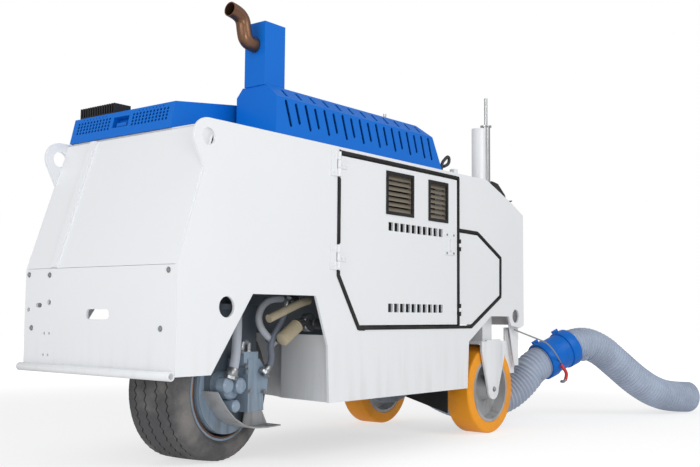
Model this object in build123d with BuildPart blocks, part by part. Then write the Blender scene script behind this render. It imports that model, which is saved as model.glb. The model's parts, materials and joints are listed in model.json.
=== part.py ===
from build123d import *
import math
import os

# A small wheeled cold planer: two cut-out steel side plates carry a hood, an engine
# behind louvred doors, a milling drum in its housing, one steered drive wheel in
# front and two height-adjustable wheels behind.
# Millimetres, +X forward, +Y to the machine's left, +Z up, the origin on the ground
# under the middle of the body.

os.makedirs("parts", exist_ok=True)

# ---- Driving dimensions ----

# Body shell
BODY_WIDTH = 800.0
PLATE = 10.0
SHEET = 5.0
HALF_LENGTH = 1108.0
BUMPER_RADIUS = 14.0
TOP_Z = 1156.0
FLOOR_EDGE_Z = 346.0
SKIRT_Z = 220.0
PANEL_SPLIT_Z = 688.0
SEAT_GAP = 0.3
FRONT_X = HALF_LENGTH - 2 * BUMPER_RADIUS - SEAT_GAP
REAR_X = -HALF_LENGTH

# Lifting lugs
LUG_X = 963.0
LUG_RADIUS = 60.0
LUG_BORE = 28.0

# Steered drive wheel
STEER_X = 554.0
STEER_Y = -58.0
STEER_REST = 7.0
TYRE_RADIUS = 266.0
TYRE_WIDTH = 250.0
RIM_RADIUS = 190.0
BAY_RADIUS = 306.0
BAY_ROOF_Z = 606.0

# Rear wheels
REAR_WHEEL_X = -857.0
REAR_WHEEL_Y = 302.0
REAR_WHEEL_RADIUS = 200.0
REAR_WHEEL_WIDTH = 122.0
REAR_RIM_RADIUS = 150.0

# Milling drum
DRUM_X = -190.0
DRUM_Z = 490.0
DRUM_WIDTH = 500.0
DRUM_CORE_RADIUS = 205.0
DRUM_TIP_RADIUS = 278.0
DRUM_CLEARANCE = 28.0

# Doors
TRIM_WIDTH = 13.0
DOOR_GAP = 5.0
DOOR_THICK = 10.0
HINGE_X = 316.0
HINGE_PIN_RADIUS = 4.0
HINGE_HEIGHT = 92.0
PIN_CLEARANCE = 0.05

# Exhaust guard and stack
GUARD_FRONT_X = 650.0
GUARD_REAR_X = -364.0
GUARD_TOP_Z = 1334.0
STACK_TOP_Z = 1560.0
PIPE_RADIUS = 25.0

# Dust hose
HOSE_RADIUS = 84.0
HOSE_WALL = 5.0

half = BODY_WIDTH / 2
inner = half - PLATE


def write(piece, node):
    piece.part.label = node
    export_step(piece.part, f"parts/{node}.step")


def other_side(piece, node):
    with BuildPart() as twin:
        mirror(piece.part, about=Plane.XZ)
    write(twin, node)


def side_plane(y):
    # Sketches (x, z) on a plane of constant y; extrudes run towards -Y.
    return Plane.XZ.offset(-y)


# ---- Side plates ----

# x, z of the plate's corners, front bottom corner first, then round by the top
side_outline = [
    (FRONT_X, FLOOR_EDGE_Z),
    (FRONT_X, PANEL_SPLIT_Z),
    (977.0, 993.0),
    (LUG_X + 55.0, TOP_Z - LUG_RADIUS - 24.0),
    (LUG_X, TOP_Z),
    (-761.0, TOP_Z),
    (-1000.0, 1068.0),
    (REAR_X, 1020.0),
    (REAR_X, 492.0),
    (-1075.0, 478.0),
    (-985.0, 490.0),
    (-964.0, 533.0),
    (-797.0, 533.0),
    (-605.0, 422.0),
    (-592.0, SKIRT_Z),
    (355.0, SKIRT_Z),
    (364.0, 424.0),
    (433.0, 603.0),
    (752.0, 603.0),
    (933.0, FLOOR_EDGE_Z),
]
# x, z of the engine door's and the rear door's corners, along the middle of the trim
door_outline = [
    (312.0, 1106.0), (300.0, 1136.0), (-518.0, 1136.0), (-518.0, 486.0), (188.0, 486.0), (312.0, 681.0),
]
rear_door_outline = [
    (-518.0, 908.0), (-680.0, 906.0), (-887.0, 804.0), (-885.0, 623.0), (-626.0, 486.0), (-518.0, 486.0),
]
hinge_heights = [1090.0, 746.0]


def outline_face(points, grow):
    with BuildSketch(mode=Mode.PRIVATE) as face:
        Polygon(*points, align=None)
        offset(amount=grow, kind=Kind.INTERSECTION)
    return face.sketch


door_leaf = outline_face(door_outline, -TRIM_WIDTH / 2 - DOOR_GAP)
rear_leaf = outline_face(rear_door_outline, -TRIM_WIDTH / 2 - DOOR_GAP)
door_hole = outline_face(door_outline, TRIM_WIDTH / 2)
rear_hole = outline_face(rear_door_outline, TRIM_WIDTH / 2)

with BuildPart() as side_plate_left:
    with BuildSketch(side_plane(half)):
        Polygon(*side_outline, align=None)
        with Locations((LUG_X, TOP_Z - LUG_RADIUS)):
            Circle(LUG_RADIUS)
            Circle(LUG_BORE, mode=Mode.SUBTRACT)
        with Locations((870.0, 559.0)):
            Circle(34.0, mode=Mode.SUBTRACT)
        with Locations((-1030.0, 534.0)):
            Circle(32.0, mode=Mode.SUBTRACT)
        add(door_hole, mode=Mode.SUBTRACT)
        add(rear_hole, mode=Mode.SUBTRACT)
    extrude(amount=PLATE)
    # Fixed hinge leaves, their knuckles and the pins
    for hinge_z in hinge_heights:
        with BuildSketch(side_plane(half + 4.0)):
            with Locations((HINGE_X + 26.0, hinge_z)):
                Rectangle(32.0, HINGE_HEIGHT)
        extrude(amount=4.0)
        for end in (-1, 1):
            low = hinge_z + end * HINGE_HEIGHT / 3 - HINGE_HEIGHT / 6 + 0.5 * (end > 0)
            with BuildSketch(Plane.XY.offset(low)):
                with Locations((HINGE_X, half + 7.0)):
                    Circle(7.0)
                with Locations((HINGE_X + 6.0, half + 2.0)):
                    Rectangle(12.0, 4.0)
            extrude(amount=HINGE_HEIGHT / 3 - 0.5)
        with BuildSketch(Plane.XY.offset(hinge_z - HINGE_HEIGHT / 2)):
            with Locations((HINGE_X, half + 7.0)):
                Circle(HINGE_PIN_RADIUS)
        extrude(amount=HINGE_HEIGHT)
write(side_plate_left, "side_plate_left")
other_side(side_plate_left, "side_plate_right")


# ---- Edge trim, door posts and doors ----

def hinge_zone(x, z, height):
    with BuildSketch(mode=Mode.PRIVATE) as zone:
        with Locations((x, z)):
            Rectangle(2 * TRIM_WIDTH, height + 2.0)
    return zone.sketch


rear_hinge_heights = [840.0, 560.0]
rear_hinge_height = 52.0
rear_hinge_x = -520.0

with BuildPart() as edge_trim:
    with BuildSketch(side_plane(half + 2.0)):
        add(door_hole)
        add(rear_hole)
        add(outline_face(door_outline, -TRIM_WIDTH / 2), mode=Mode.SUBTRACT)
        add(outline_face(rear_door_outline, -TRIM_WIDTH / 2), mode=Mode.SUBTRACT)
        for hinge_z in hinge_heights:
            add(hinge_zone(HINGE_X, hinge_z, HINGE_HEIGHT), mode=Mode.SUBTRACT)
        for hinge_z in rear_hinge_heights:
            add(hinge_zone(rear_hinge_x, hinge_z, rear_hinge_height), mode=Mode.SUBTRACT)
    extrude(amount=PLATE + 2.0)
    mirror(about=Plane.XZ)
write(edge_trim, "edge_trim")

POST_THICK = 16.0
with BuildPart() as door_posts:
    with BuildSketch(side_plane(inner)):
        with Locations((-521.0, (TOP_Z - SHEET + 440.0) / 2)):
            Rectangle(18.0, TOP_Z - SHEET - 440.0)
    extrude(amount=POST_THICK)
    for hinge_z in rear_hinge_heights:
        for end in (-1, 1):
            low = hinge_z + end * rear_hinge_height / 3 - rear_hinge_height / 6 + 0.5 * (end > 0)
            with BuildSketch(Plane.XY.offset(low)):
                with Locations((rear_hinge_x, half + 7.0)):
                    Circle(5.0)
                with Locations((rear_hinge_x, half - 1.0)):
                    Rectangle(8.0, 18.0)
            extrude(amount=rear_hinge_height / 3 - 0.5)
        with BuildSketch(Plane.XY.offset(hinge_z - rear_hinge_height / 2)):
            with Locations((rear_hinge_x, half + 7.0)):
                Circle(2.5)
        extrude(amount=rear_hinge_height)
    mirror(about=Plane.XZ)
write(door_posts, "door_posts")

# Windows of the engine door: centre x, centre z, width, height
windows = [(-79.5, 1018.0, 190.0, 172.0), (-358.0, 1016.0, 150.0, 172.0)]
vent_rows = [884.5, 564.0]
VENT_COUNT = 10
VENT_PITCH = 40.0
WINDOW_FRAME = 12.0

with BuildPart() as door_left:
    with BuildSketch(side_plane(half)):
        add(door_leaf)
        for x, z, width, height in windows:
            with Locations((x, z)):
                Rectangle(width, height, mode=Mode.SUBTRACT)
        for z in vent_rows:
            with Locations((-197.5, z)):
                with GridLocations(VENT_PITCH, 1.0, VENT_COUNT, 1):
                    Rectangle(31.0, 34.0, mode=Mode.SUBTRACT)
    extrude(amount=DOOR_THICK)
    for hinge_z in hinge_heights:
        with BuildSketch(side_plane(half + 4.0)):
            with Locations((HINGE_X - 32.0, hinge_z)):
                Rectangle(40.0, HINGE_HEIGHT / 3 - 2.0)
        extrude(amount=4.0)
        with BuildSketch(Plane.XY.offset(hinge_z - HINGE_HEIGHT / 6 + 1.0)):
            with Locations((HINGE_X, half + 7.0)):
                Circle(7.0)
            with Locations((HINGE_X - 8.0, half + 2.0)):
                Rectangle(16.0, 4.0)
            with Locations((HINGE_X, half + 7.0)):
                Circle(HINGE_PIN_RADIUS + PIN_CLEARANCE, mode=Mode.SUBTRACT)
        extrude(amount=HINGE_HEIGHT / 3 - 2.0)
    # Latch plate and its grip
    with BuildSketch(side_plane(half + 4.0)):
        with Locations((-448.0, 842.0)):
            Rectangle(74.0, 96.0)
    extrude(amount=4.0)
    with BuildSketch(side_plane(half + 12.0)):
        with Locations((-448.0, 838.0)):
            Rectangle(14.0, 52.0)
    extrude(amount=8.0)
write(door_left, "door_left")
other_side(door_left, "door_right")

with BuildPart() as door_louvre_left:
    for x, z, width, height in windows:
        with BuildSketch(side_plane(half + 1.0)):
            with Locations((x, z)):
                Rectangle(width - 2 * SEAT_GAP, height - 2 * SEAT_GAP)
                Rectangle(width - 2 * WINDOW_FRAME, height - 2 * WINDOW_FRAME, mode=Mode.SUBTRACT)
        extrude(amount=DOOR_THICK + 12.0)
        for row in range(7):
            slat_z = z + (row - 3) * (height - 2 * WINDOW_FRAME) / 7
            with BuildSketch(Plane.YZ.offset(x - width / 2 + WINDOW_FRAME)):
                Polygon((half - 4.0, slat_z - 9.0), (half - 2.0, slat_z - 9.0), (half - 16.0, slat_z + 9.0),
                        (half - 18.0, slat_z + 9.0), align=None)
            extrude(amount=width - 2 * WINDOW_FRAME)
write(door_louvre_left, "door_louvre_left")
other_side(door_louvre_left, "door_louvre_right")

with BuildPart() as rear_door_left:
    with BuildSketch(side_plane(half)):
        add(rear_leaf)
    extrude(amount=DOOR_THICK)
    for hinge_z in rear_hinge_heights:
        with BuildSketch(Plane.XY.offset(hinge_z - rear_hinge_height / 6 + 1.0)):
            with Locations((rear_hinge_x - 14.0, half + 2.0)):
                Rectangle(28.0, 4.0)
            with Locations((rear_hinge_x, half + 7.0)):
                Circle(5.0)
                Circle(2.5 + PIN_CLEARANCE, mode=Mode.SUBTRACT)
        extrude(amount=rear_hinge_height / 3 - 2.0)
write(rear_door_left, "rear_door_left")
other_side(rear_door_left, "rear_door_right")

# ---- Front plates, deck and rear ----

PANEL_TOP = (929.0, 1148.0)
HOOD_Y = (-384.0, 175.0)
HOOD_REAR_X = 300.0
HOOD_HINGE_X = 290.0
HOOD_HINGE_Z = 1168.0
hinge_spots = [-280.0, 70.0]

with BuildPart() as front_plate:
    with BuildSketch(Plane.YZ.offset(FRONT_X)):
        with Locations((0, (FLOOR_EDGE_Z + PANEL_SPLIT_Z - 1.0) / 2)):
            Rectangle(2 * inner, PANEL_SPLIT_Z - 1.0 - FLOOR_EDGE_Z)
        with Locations((-30.0, 530.0)):
            SlotOverall(110.0, 44.0, mode=Mode.SUBTRACT)
    extrude(amount=-8.0)
write(front_plate, "front_plate")

with BuildPart() as front_panel:
    with BuildSketch(side_plane(inner)):
        Polygon((FRONT_X, PANEL_SPLIT_Z), PANEL_TOP, (PANEL_TOP[0] - 8.0, PANEL_TOP[1]),
                (FRONT_X - 8.0, PANEL_SPLIT_Z), align=None)
    extrude(amount=2 * inner)
    with BuildSketch(side_plane(-215.0)):
        Polygon((FRONT_X + 8.0, PANEL_SPLIT_Z + 4.0), (PANEL_TOP[0] + 10.0, PANEL_TOP[1] + 2.0),
                (PANEL_TOP[0] - 4.0, PANEL_TOP[1]), (FRONT_X - 4.0, PANEL_SPLIT_Z), align=None)
    extrude(amount=30.0)
write(front_panel, "front_panel")

with BuildPart() as bumper_tube:
    with BuildSketch(side_plane(half)):
        with Locations((FRONT_X + BUMPER_RADIUS + SEAT_GAP, FLOOR_EDGE_Z + 2.0)):
            Circle(BUMPER_RADIUS)
            Circle(BUMPER_RADIUS - 4.0, mode=Mode.SUBTRACT)
    extrude(amount=BODY_WIDTH)
write(bumper_tube, "bumper_tube")

DECK_FRONT = 921.0
slope = [(-761.0, TOP_Z), (-1000.0, 1068.0), (REAR_X + 5.0, 1020.0)]
LEG_TUBE = 33.0
ROD_X = -925.0
ROD_TUBE = 20.0
with BuildPart() as deck:
    with BuildSketch(side_plane(inner)):
        Polygon((DECK_FRONT, TOP_Z), slope[0], slope[1], slope[2], (slope[2][0], slope[2][1] - 6.0),
                (slope[1][0], slope[1][1] - 6.0), (slope[0][0], TOP_Z - SHEET), (DECK_FRONT, TOP_Z - SHEET),
                align=None)
    extrude(amount=2 * inner)
    with BuildSketch(Plane.XY.offset(TOP_Z - 2 * SHEET)):
        with Locations(((HOOD_REAR_X + 12 + DECK_FRONT - 16) / 2, sum(HOOD_Y) / 2)):
            Rectangle(DECK_FRONT - 28 - HOOD_REAR_X, HOOD_Y[1] - HOOD_Y[0] - 16.0)
    extrude(amount=4 * SHEET, mode=Mode.SUBTRACT)
    with BuildSketch(Plane.XY.offset(900.0)):
        for side in (-1, 1):
            with Locations((REAR_WHEEL_X, side * REAR_WHEEL_Y)):
                Circle(LEG_TUBE + SEAT_GAP)
            with Locations((ROD_X, side * REAR_WHEEL_Y)):
                Circle(ROD_TUBE + SEAT_GAP)
    extrude(amount=400.0, mode=Mode.SUBTRACT)
    for y in hinge_spots:
        for side in (-1, 1):
            with BuildSketch(side_plane(y + side * 20.5 + 2.5)):
                with BuildLine():
                    Polyline((HOOD_HINGE_X - 8, TOP_Z - 1), (HOOD_HINGE_X - 8, HOOD_HINGE_Z))
                    ThreePointArc((HOOD_HINGE_X - 8, HOOD_HINGE_Z), (HOOD_HINGE_X, HOOD_HINGE_Z + 8),
                                  (HOOD_HINGE_X + 8, HOOD_HINGE_Z))
                    Polyline((HOOD_HINGE_X + 8, HOOD_HINGE_Z), (HOOD_HINGE_X + 8, TOP_Z - 1),
                             (HOOD_HINGE_X - 8, TOP_Z - 1))
                make_face()
            extrude(amount=5.0)
        with BuildSketch(side_plane(y + 22.0)):
            with Locations((HOOD_HINGE_X, HOOD_HINGE_Z)):
                Circle(4.0)
        extrude(amount=44.0)
write(deck, "deck")

with BuildPart() as rear_panel:
    with BuildSketch(Plane.YZ.offset(REAR_X + 5.0)):
        with Locations((0, (492.0 + 1014.0) / 2)):
            Rectangle(2 * inner, 1014.0 - 492.0)
    extrude(amount=6.0)
write(rear_panel, "rear_panel")

HOOD_SHEET = 4.0
HOOD_FOOT_Z = TOP_Z + SEAT_GAP
hood_profile = [(929.0, HOOD_FOOT_Z), (907.0, 1250.0), (628.0, 1284.0), (HOOD_REAR_X, 1290.0), (HOOD_REAR_X, HOOD_FOOT_Z)]
hood_hollow = [(924.0, HOOD_FOOT_Z - 1), (903.0, 1246.0), (628.0, 1279.5), (HOOD_REAR_X + 4, 1286.0), (HOOD_REAR_X + 4, HOOD_FOOT_Z - 1)]
with BuildPart() as hood:
    with BuildSketch(side_plane(HOOD_Y[1])):
        Polygon(*hood_profile, align=None)
    extrude(amount=HOOD_Y[1] - HOOD_Y[0])
    with BuildSketch(side_plane(HOOD_Y[1] - HOOD_SHEET)):
        Polygon(*hood_hollow, align=None)
    extrude(amount=HOOD_Y[1] - HOOD_Y[0] - 2 * HOOD_SHEET, mode=Mode.SUBTRACT)
    for y in hinge_spots:
        with BuildSketch(side_plane(y + 17.0)):
            with Locations((HOOD_HINGE_X, HOOD_HINGE_Z)):
                Circle(8.0)
            with Locations((HOOD_HINGE_X + 7.0, HOOD_HINGE_Z)):
                Rectangle(14.0, 8.0)
            with Locations((HOOD_HINGE_X, HOOD_HINGE_Z)):
                Circle(4.0 + PIN_CLEARANCE, mode=Mode.SUBTRACT)
        extrude(amount=34.0)
write(hood, "hood")

with BuildPart() as top_box:
    with BuildSketch(Plane.YZ.offset(885.0)):
        with Locations((-285.0, 1253.5 + 21.0)):
            Rectangle(200.0, 42.0)
    extrude(amount=-75.0)
    with BuildSketch(side_plane(-180.0)):
        Polygon((920.0, 1253.0), (907.0, 1250.3), (628.0, 1284.3), (628.0, 1200.0), (920.0, 1200.0), align=None)
    extrude(amount=230.0, mode=Mode.SUBTRACT)
write(top_box, "top_box")

# ---- Wheel bay, bulkheads and drum housing ----

DRUM_CASE = DRUM_TIP_RADIUS + DRUM_CLEARANCE
CASE_SHEET = 6.0
KING_RADIUS = 60.0
case_front = DRUM_X + DRUM_CASE + CASE_SHEET
case_rear = DRUM_X - DRUM_CASE - CASE_SHEET
case_half = DRUM_WIDTH / 2 + 18.0

with BuildPart() as bay_roof:
    with BuildSketch(Plane.XY.offset(BAY_ROOF_Z)):
        with Locations(((case_front + 10.0 + FRONT_X - 8.0) / 2, 0)):
            Rectangle(FRONT_X - 8.0 - case_front - 10.0, 2 * inner)
    extrude(amount=10.0)
    with BuildSketch(Plane.XY.offset(BAY_ROOF_Z)):
        with Locations((STEER_X, STEER_Y)):
            Circle(KING_RADIUS + 24.0)
    extrude(amount=90.0)
    with BuildSketch(Plane.XY.offset(BAY_ROOF_Z)):
        with Locations((STEER_X, STEER_Y)):
            Circle(KING_RADIUS + PIN_CLEARANCE)
    extrude(amount=90.0, mode=Mode.SUBTRACT)
write(bay_roof, "bay_roof")

BAY_WALL_Z = 462.0
BAY_CORNER_X = 341.0
BAY_EDGE_X = 306.0
reach = math.sqrt(BAY_RADIUS ** 2 - (STEER_X - BAY_EDGE_X) ** 2)
with BuildPart() as bay_wall:
    with BuildSketch(Plane.XY.offset(SKIRT_Z)):
        with BuildLine():
            Polyline((BAY_EDGE_X, STEER_Y + reach), (BAY_CORNER_X, inner), (BAY_CORNER_X - 8.0, inner),
                     (BAY_EDGE_X - 8.0, STEER_Y + reach + 6.0))
            ThreePointArc((BAY_EDGE_X - 8.0, STEER_Y + reach + 6.0), (STEER_X - BAY_RADIUS - 8.0, STEER_Y),
                          (BAY_EDGE_X - 8.0, STEER_Y - reach - 6.0))
            Polyline((BAY_EDGE_X - 8.0, STEER_Y - reach - 6.0), (BAY_CORNER_X - 8.0, -inner), (BAY_CORNER_X, -inner),
                     (BAY_EDGE_X, STEER_Y - reach))
            ThreePointArc((BAY_EDGE_X, STEER_Y - reach), (STEER_X - BAY_RADIUS, STEER_Y),
                          (BAY_EDGE_X, STEER_Y + reach))
        make_face()
    extrude(amount=BAY_WALL_Z - SKIRT_Z)
write(bay_wall, "bay_wall")

with BuildPart() as bulkheads:
    for x in (case_front, case_rear - 10.0):
        with BuildSketch(Plane.YZ.offset(x)):
            with Locations((0, (SKIRT_Z + 8 + 700.0) / 2)):
                Rectangle(2 * inner, 700.0 - SKIRT_Z - 8)
        extrude(amount=10.0)
write(bulkheads, "bulkheads")

with BuildPart() as drum_housing:
    with BuildSketch(side_plane(case_half)):
        with Locations((DRUM_X, DRUM_Z)):
            Circle(DRUM_CASE + CASE_SHEET)
        with Locations((DRUM_X, (DRUM_Z + SKIRT_Z + 8) / 2)):
            Rectangle(2 * (DRUM_CASE + CASE_SHEET), DRUM_Z - SKIRT_Z - 8)
        with Locations((DRUM_X, DRUM_Z)):
            Circle(DRUM_CASE, mode=Mode.SUBTRACT)
        with Locations((DRUM_X, DRUM_Z / 2)):
            Rectangle(2 * DRUM_CASE, DRUM_Z, mode=Mode.SUBTRACT)
    extrude(amount=2 * case_half)
write(drum_housing, "drum_housing")

SHAFT_RADIUS = 40.0
with BuildPart() as drum_sides:
    with BuildSketch(side_plane(case_half + 12.0)):
        with Locations((DRUM_X, DRUM_Z)):
            Circle(DRUM_CASE + CASE_SHEET)
        with Locations((DRUM_X, (DRUM_Z + SKIRT_Z + 8) / 2)):
            Rectangle(2 * (DRUM_CASE + CASE_SHEET), DRUM_Z - SKIRT_Z - 8)
        with Locations((DRUM_X, DRUM_Z)):
            Circle(SHAFT_RADIUS + PIN_CLEARANCE, mode=Mode.SUBTRACT)
    extrude(amount=12.0)
    mirror(about=Plane.XZ)
write(drum_sides, "drum_sides")

PICK_ROWS = 14
with BuildPart() as milling_drum:
    with BuildSketch(side_plane(DRUM_WIDTH / 2)):
        with Locations((DRUM_X, DRUM_Z)):
            Circle(DRUM_CORE_RADIUS)
    extrude(amount=DRUM_WIDTH)
    with BuildSketch(side_plane(case_half + 30.0)):
        with Locations((DRUM_X, DRUM_Z)):
            Circle(SHAFT_RADIUS)
    extrude(amount=2 * case_half + 60.0)
    for row in range(PICK_ROWS):
        y = (row - (PICK_ROWS - 1) / 2) * DRUM_WIDTH / PICK_ROWS
        for arm in (0, 180):
            turn = arm + abs(y) * 1.1
            with BuildSketch(side_plane(y + 11.0)):
                with Locations(Location((DRUM_X, DRUM_Z), turn)):
                    Polygon((DRUM_CORE_RADIUS - 6, -22), (DRUM_CORE_RADIUS + 32, -16), (DRUM_TIP_RADIUS - 18, 4),
                            (DRUM_TIP_RADIUS, 26), (DRUM_CORE_RADIUS + 38, 22), (DRUM_CORE_RADIUS - 6, 30),
                            align=None)
            extrude(amount=22.0)
write(milling_drum, "milling_drum")

with BuildPart() as engine_block:
    with BuildSketch(Plane.XY.offset(DRUM_Z + DRUM_CASE + CASE_SHEET + SEAT_GAP)):
        with Locations((-115.0, 0)):
            Rectangle(740.0, 600.0)
    extrude(amount=290.0)
write(engine_block, "engine_block")

# ---- Exhaust ----

GUARD_SHEET = 4.0
# y, z of the guard's cross-section, near side bottom first
guard_section = [(392.0, HOOD_FOOT_Z), (392.0, 1288.0), (345.0, GUARD_TOP_Z), (228.0, GUARD_TOP_Z),
                 (199.0, 1302.0), (199.0, HOOD_FOOT_Z)]
guard_hollow = [(388.0, HOOD_FOOT_Z - 1), (388.0, 1286.3), (343.3, 1330.0), (229.8, 1330.0),
                (203.0, 1300.3), (203.0, HOOD_FOOT_Z - 1)]
with BuildPart() as exhaust_guard:
    with BuildSketch(Plane.YZ.offset(GUARD_REAR_X)):
        Polygon(*guard_section, align=None)
    extrude(amount=GUARD_FRONT_X - GUARD_REAR_X)
    with BuildSketch(Plane.YZ.offset(GUARD_REAR_X + GUARD_SHEET)):
        Polygon(*guard_hollow, align=None)
    extrude(amount=GUARD_FRONT_X - GUARD_REAR_X - 2 * GUARD_SHEET, mode=Mode.SUBTRACT)
write(exhaust_guard, "exhaust_guard")

STACK_X = (546.0, 650.0)
STACK_Y = (241.0, 338.0)
with BuildPart() as exhaust_stack:
    with BuildSketch(Plane.XY.offset(GUARD_TOP_Z)):
        with Locations((sum(STACK_X) / 2, sum(STACK_Y) / 2)):
            Rectangle(STACK_X[1] - STACK_X[0], STACK_Y[1] - STACK_Y[0])
    extrude(amount=STACK_TOP_Z - GUARD_TOP_Z)
    with BuildSketch(Plane.YZ.offset(STACK_X[1] - 40.0)):
        with Locations((290.0, 1480.0)):
            Circle(PIPE_RADIUS + SEAT_GAP)
    extrude(amount=41.0, mode=Mode.SUBTRACT)
write(exhaust_stack, "exhaust_stack")

with BuildPart() as exhaust_pipe:
    with BuildLine():
        FilletPolyline((STACK_X[1] - 39.0, 290.0, 1480.0), (694.0, 290.0, 1480.0), (706.0, 290.0, 1564.0),
                       (772.0, 290.0, 1572.0), radius=[32.0, 32.0])
    with BuildSketch(Plane.YZ.offset(STACK_X[1] - 39.0)):
        with Locations((290.0, 1480.0)):
            Circle(PIPE_RADIUS)
            Circle(PIPE_RADIUS - 3.0, mode=Mode.SUBTRACT)
    sweep()
write(exhaust_pipe, "exhaust_pipe")

# ---- Rear: console, depth rods, legs and wheels ----

with BuildPart() as console:
    with BuildSketch(side_plane(280.0)):
        Polygon((-955.0, 1085.0), (-935.0, 1160.0), (-1040.0, 1120.0), (-1075.0, 1062.0), (-1065.0, 1036.0), (-1000.0, 1068.5),
                align=None)
    extrude(amount=220.0)
    with BuildSketch(side_plane(300.0)):
        Polygon((-761.0, TOP_Z + SEAT_GAP), (-1000.0, 1068.0 + SEAT_GAP), (-1120.0, 1015.6 + SEAT_GAP), (-1120.0, 900.0), (-761.0, 900.0),
                align=None)
    extrude(amount=260.0, mode=Mode.SUBTRACT)
write(console, "console")

with BuildPart() as depth_rods:
    with BuildSketch(Plane.XY.offset(1000.0)):
        with Locations((ROD_X, REAR_WHEEL_Y)):
            Circle(ROD_TUBE)
    extrude(amount=437.0)
    with BuildSketch(Plane.XY.offset(1437.0)):
        with Locations((ROD_X, REAR_WHEEL_Y)):
            Circle(27.0)
    extrude(amount=7.0)
    with BuildSketch(Plane.XY.offset(1444.0)):
        with Locations((ROD_X, REAR_WHEEL_Y)):
            Circle(8.0)
    extrude(amount=134.0)
    mirror(about=Plane.XZ)
write(depth_rods, "depth_rods")

FORK_PLATE = 10.0
AXLE_RADIUS = 18.0
WHEEL_GAP = 5.0
fork_outer = REAR_WHEEL_Y + REAR_WHEEL_WIDTH / 2 + WHEEL_GAP + FORK_PLATE
fork_inner = REAR_WHEEL_Y - REAR_WHEEL_WIDTH / 2 - WHEEL_GAP
CROWN_Z = REAR_WHEEL_RADIUS * 2 + 7.0
with BuildPart() as leg_left:
    for y in (fork_outer, fork_inner):
        with BuildSketch(side_plane(y)):
            Polygon((-752.0, CROWN_Z + 12.0), (-970.0, CROWN_Z + 12.0), (-970.0, CROWN_Z - 30.0),
                    (REAR_WHEEL_X - 46.0, REAR_WHEEL_RADIUS), (REAR_WHEEL_X + 46.0, REAR_WHEEL_RADIUS),
                    (-752.0, CROWN_Z - 30.0), align=None)
            with Locations((REAR_WHEEL_X, REAR_WHEEL_RADIUS)):
                Circle(46.0)
        extrude(amount=FORK_PLATE)
    with BuildSketch(Plane.XY.offset(CROWN_Z)):
        with Locations(((-752.0 - 970.0) / 2, (fork_outer + fork_inner - FORK_PLATE) / 2)):
            Rectangle(970.0 - 752.0, fork_outer - fork_inner + FORK_PLATE)
    extrude(amount=12.0)
    with BuildSketch(Plane.XY.offset(CROWN_Z)):
        with Locations((REAR_WHEEL_X, REAR_WHEEL_Y)):
            Rectangle(84.0, 84.0)
    extrude(amount=560.0)
    with BuildSketch(Plane.XY.offset(CROWN_Z + 500.0)):
        with Locations((REAR_WHEEL_X, REAR_WHEEL_Y)):
            Circle(LEG_TUBE)
    extrude(amount=1418.0 - CROWN_Z - 500.0)
    with BuildSketch(side_plane(fork_outer)):
        with Locations((REAR_WHEEL_X, REAR_WHEEL_RADIUS)):
            Circle(AXLE_RADIUS)
    extrude(amount=fork_outer - fork_inner + FORK_PLATE)
write(leg_left, "leg_left")
other_side(leg_left, "leg_right")

with BuildPart() as rear_tyre_left:
    with BuildSketch(side_plane(REAR_WHEEL_Y + REAR_WHEEL_WIDTH / 2)):
        with Locations((REAR_WHEEL_X, REAR_WHEEL_RADIUS)):
            Circle(REAR_WHEEL_RADIUS)
            Circle(REAR_RIM_RADIUS + SEAT_GAP, mode=Mode.SUBTRACT)
    extrude(amount=REAR_WHEEL_WIDTH)
    fillet(rear_tyre_left.edges().filter_by(GeomType.CIRCLE).group_by(SortBy.RADIUS)[-1], 9.0)
write(rear_tyre_left, "rear_tyre_left")
other_side(rear_tyre_left, "rear_tyre_right")

with BuildPart() as rear_hub_left:
    for radius, hollow, width in ((REAR_RIM_RADIUS, REAR_RIM_RADIUS - 14.0, REAR_WHEEL_WIDTH), (REAR_RIM_RADIUS - 10.0, 20.0, 24.0),
                                  (44.0, 10.0, REAR_WHEEL_WIDTH)):
        with BuildSketch(side_plane(REAR_WHEEL_Y + width / 2)):
            with Locations((REAR_WHEEL_X, REAR_WHEEL_RADIUS)):
                Circle(radius)
                Circle(hollow, mode=Mode.SUBTRACT)
        extrude(amount=width)
    with BuildSketch(side_plane(REAR_WHEEL_Y + REAR_WHEEL_WIDTH)):
        with Locations((REAR_WHEEL_X, REAR_WHEEL_RADIUS)):
            Circle(AXLE_RADIUS + PIN_CLEARANCE)
    extrude(amount=2 * REAR_WHEEL_WIDTH, mode=Mode.SUBTRACT)
write(rear_hub_left, "rear_hub_left")
other_side(rear_hub_left, "rear_hub_right")

with BuildPart() as rear_brackets:
    with BuildSketch(side_plane(376.0)):
        Polygon((-1005.0, 500.0), (-1060.0, 300.0), (REAR_X + 11.0, 300.0), (REAR_X + 11.0, 500.0), align=None)
    extrude(amount=5.0)
    mirror(about=Plane.XZ)
write(rear_brackets, "rear_brackets")

with BuildPart() as rubber_curtain:
    with BuildSketch(Plane.YZ.offset(case_rear - 10.0 - SEAT_GAP)):
        Polygon((106.0, 178.0), (345.0, 115.0), (345.0, 420.0), (106.0, 420.0), align=None)
    extrude(amount=-8.0)
write(rubber_curtain, "rubber_curtain")

# ---- Steered drive wheel ----

steer_axis = Axis((STEER_X, STEER_Y, 0), (0, 0, 1))
wheel_axis = Axis((STEER_X, STEER_Y, TYRE_RADIUS), (0, 1, 0))
ARM_Y = STEER_Y + TYRE_WIDTH / 2 + 10.0
ARM_THICK = 18.0
ARM_HALF = 138.0
FORK_Z = 552.0
GEARBOX_RADIUS = 165.0


def write_steered(piece, node):
    piece.part = piece.part.rotate(steer_axis, STEER_REST)
    write(piece, node)


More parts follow.
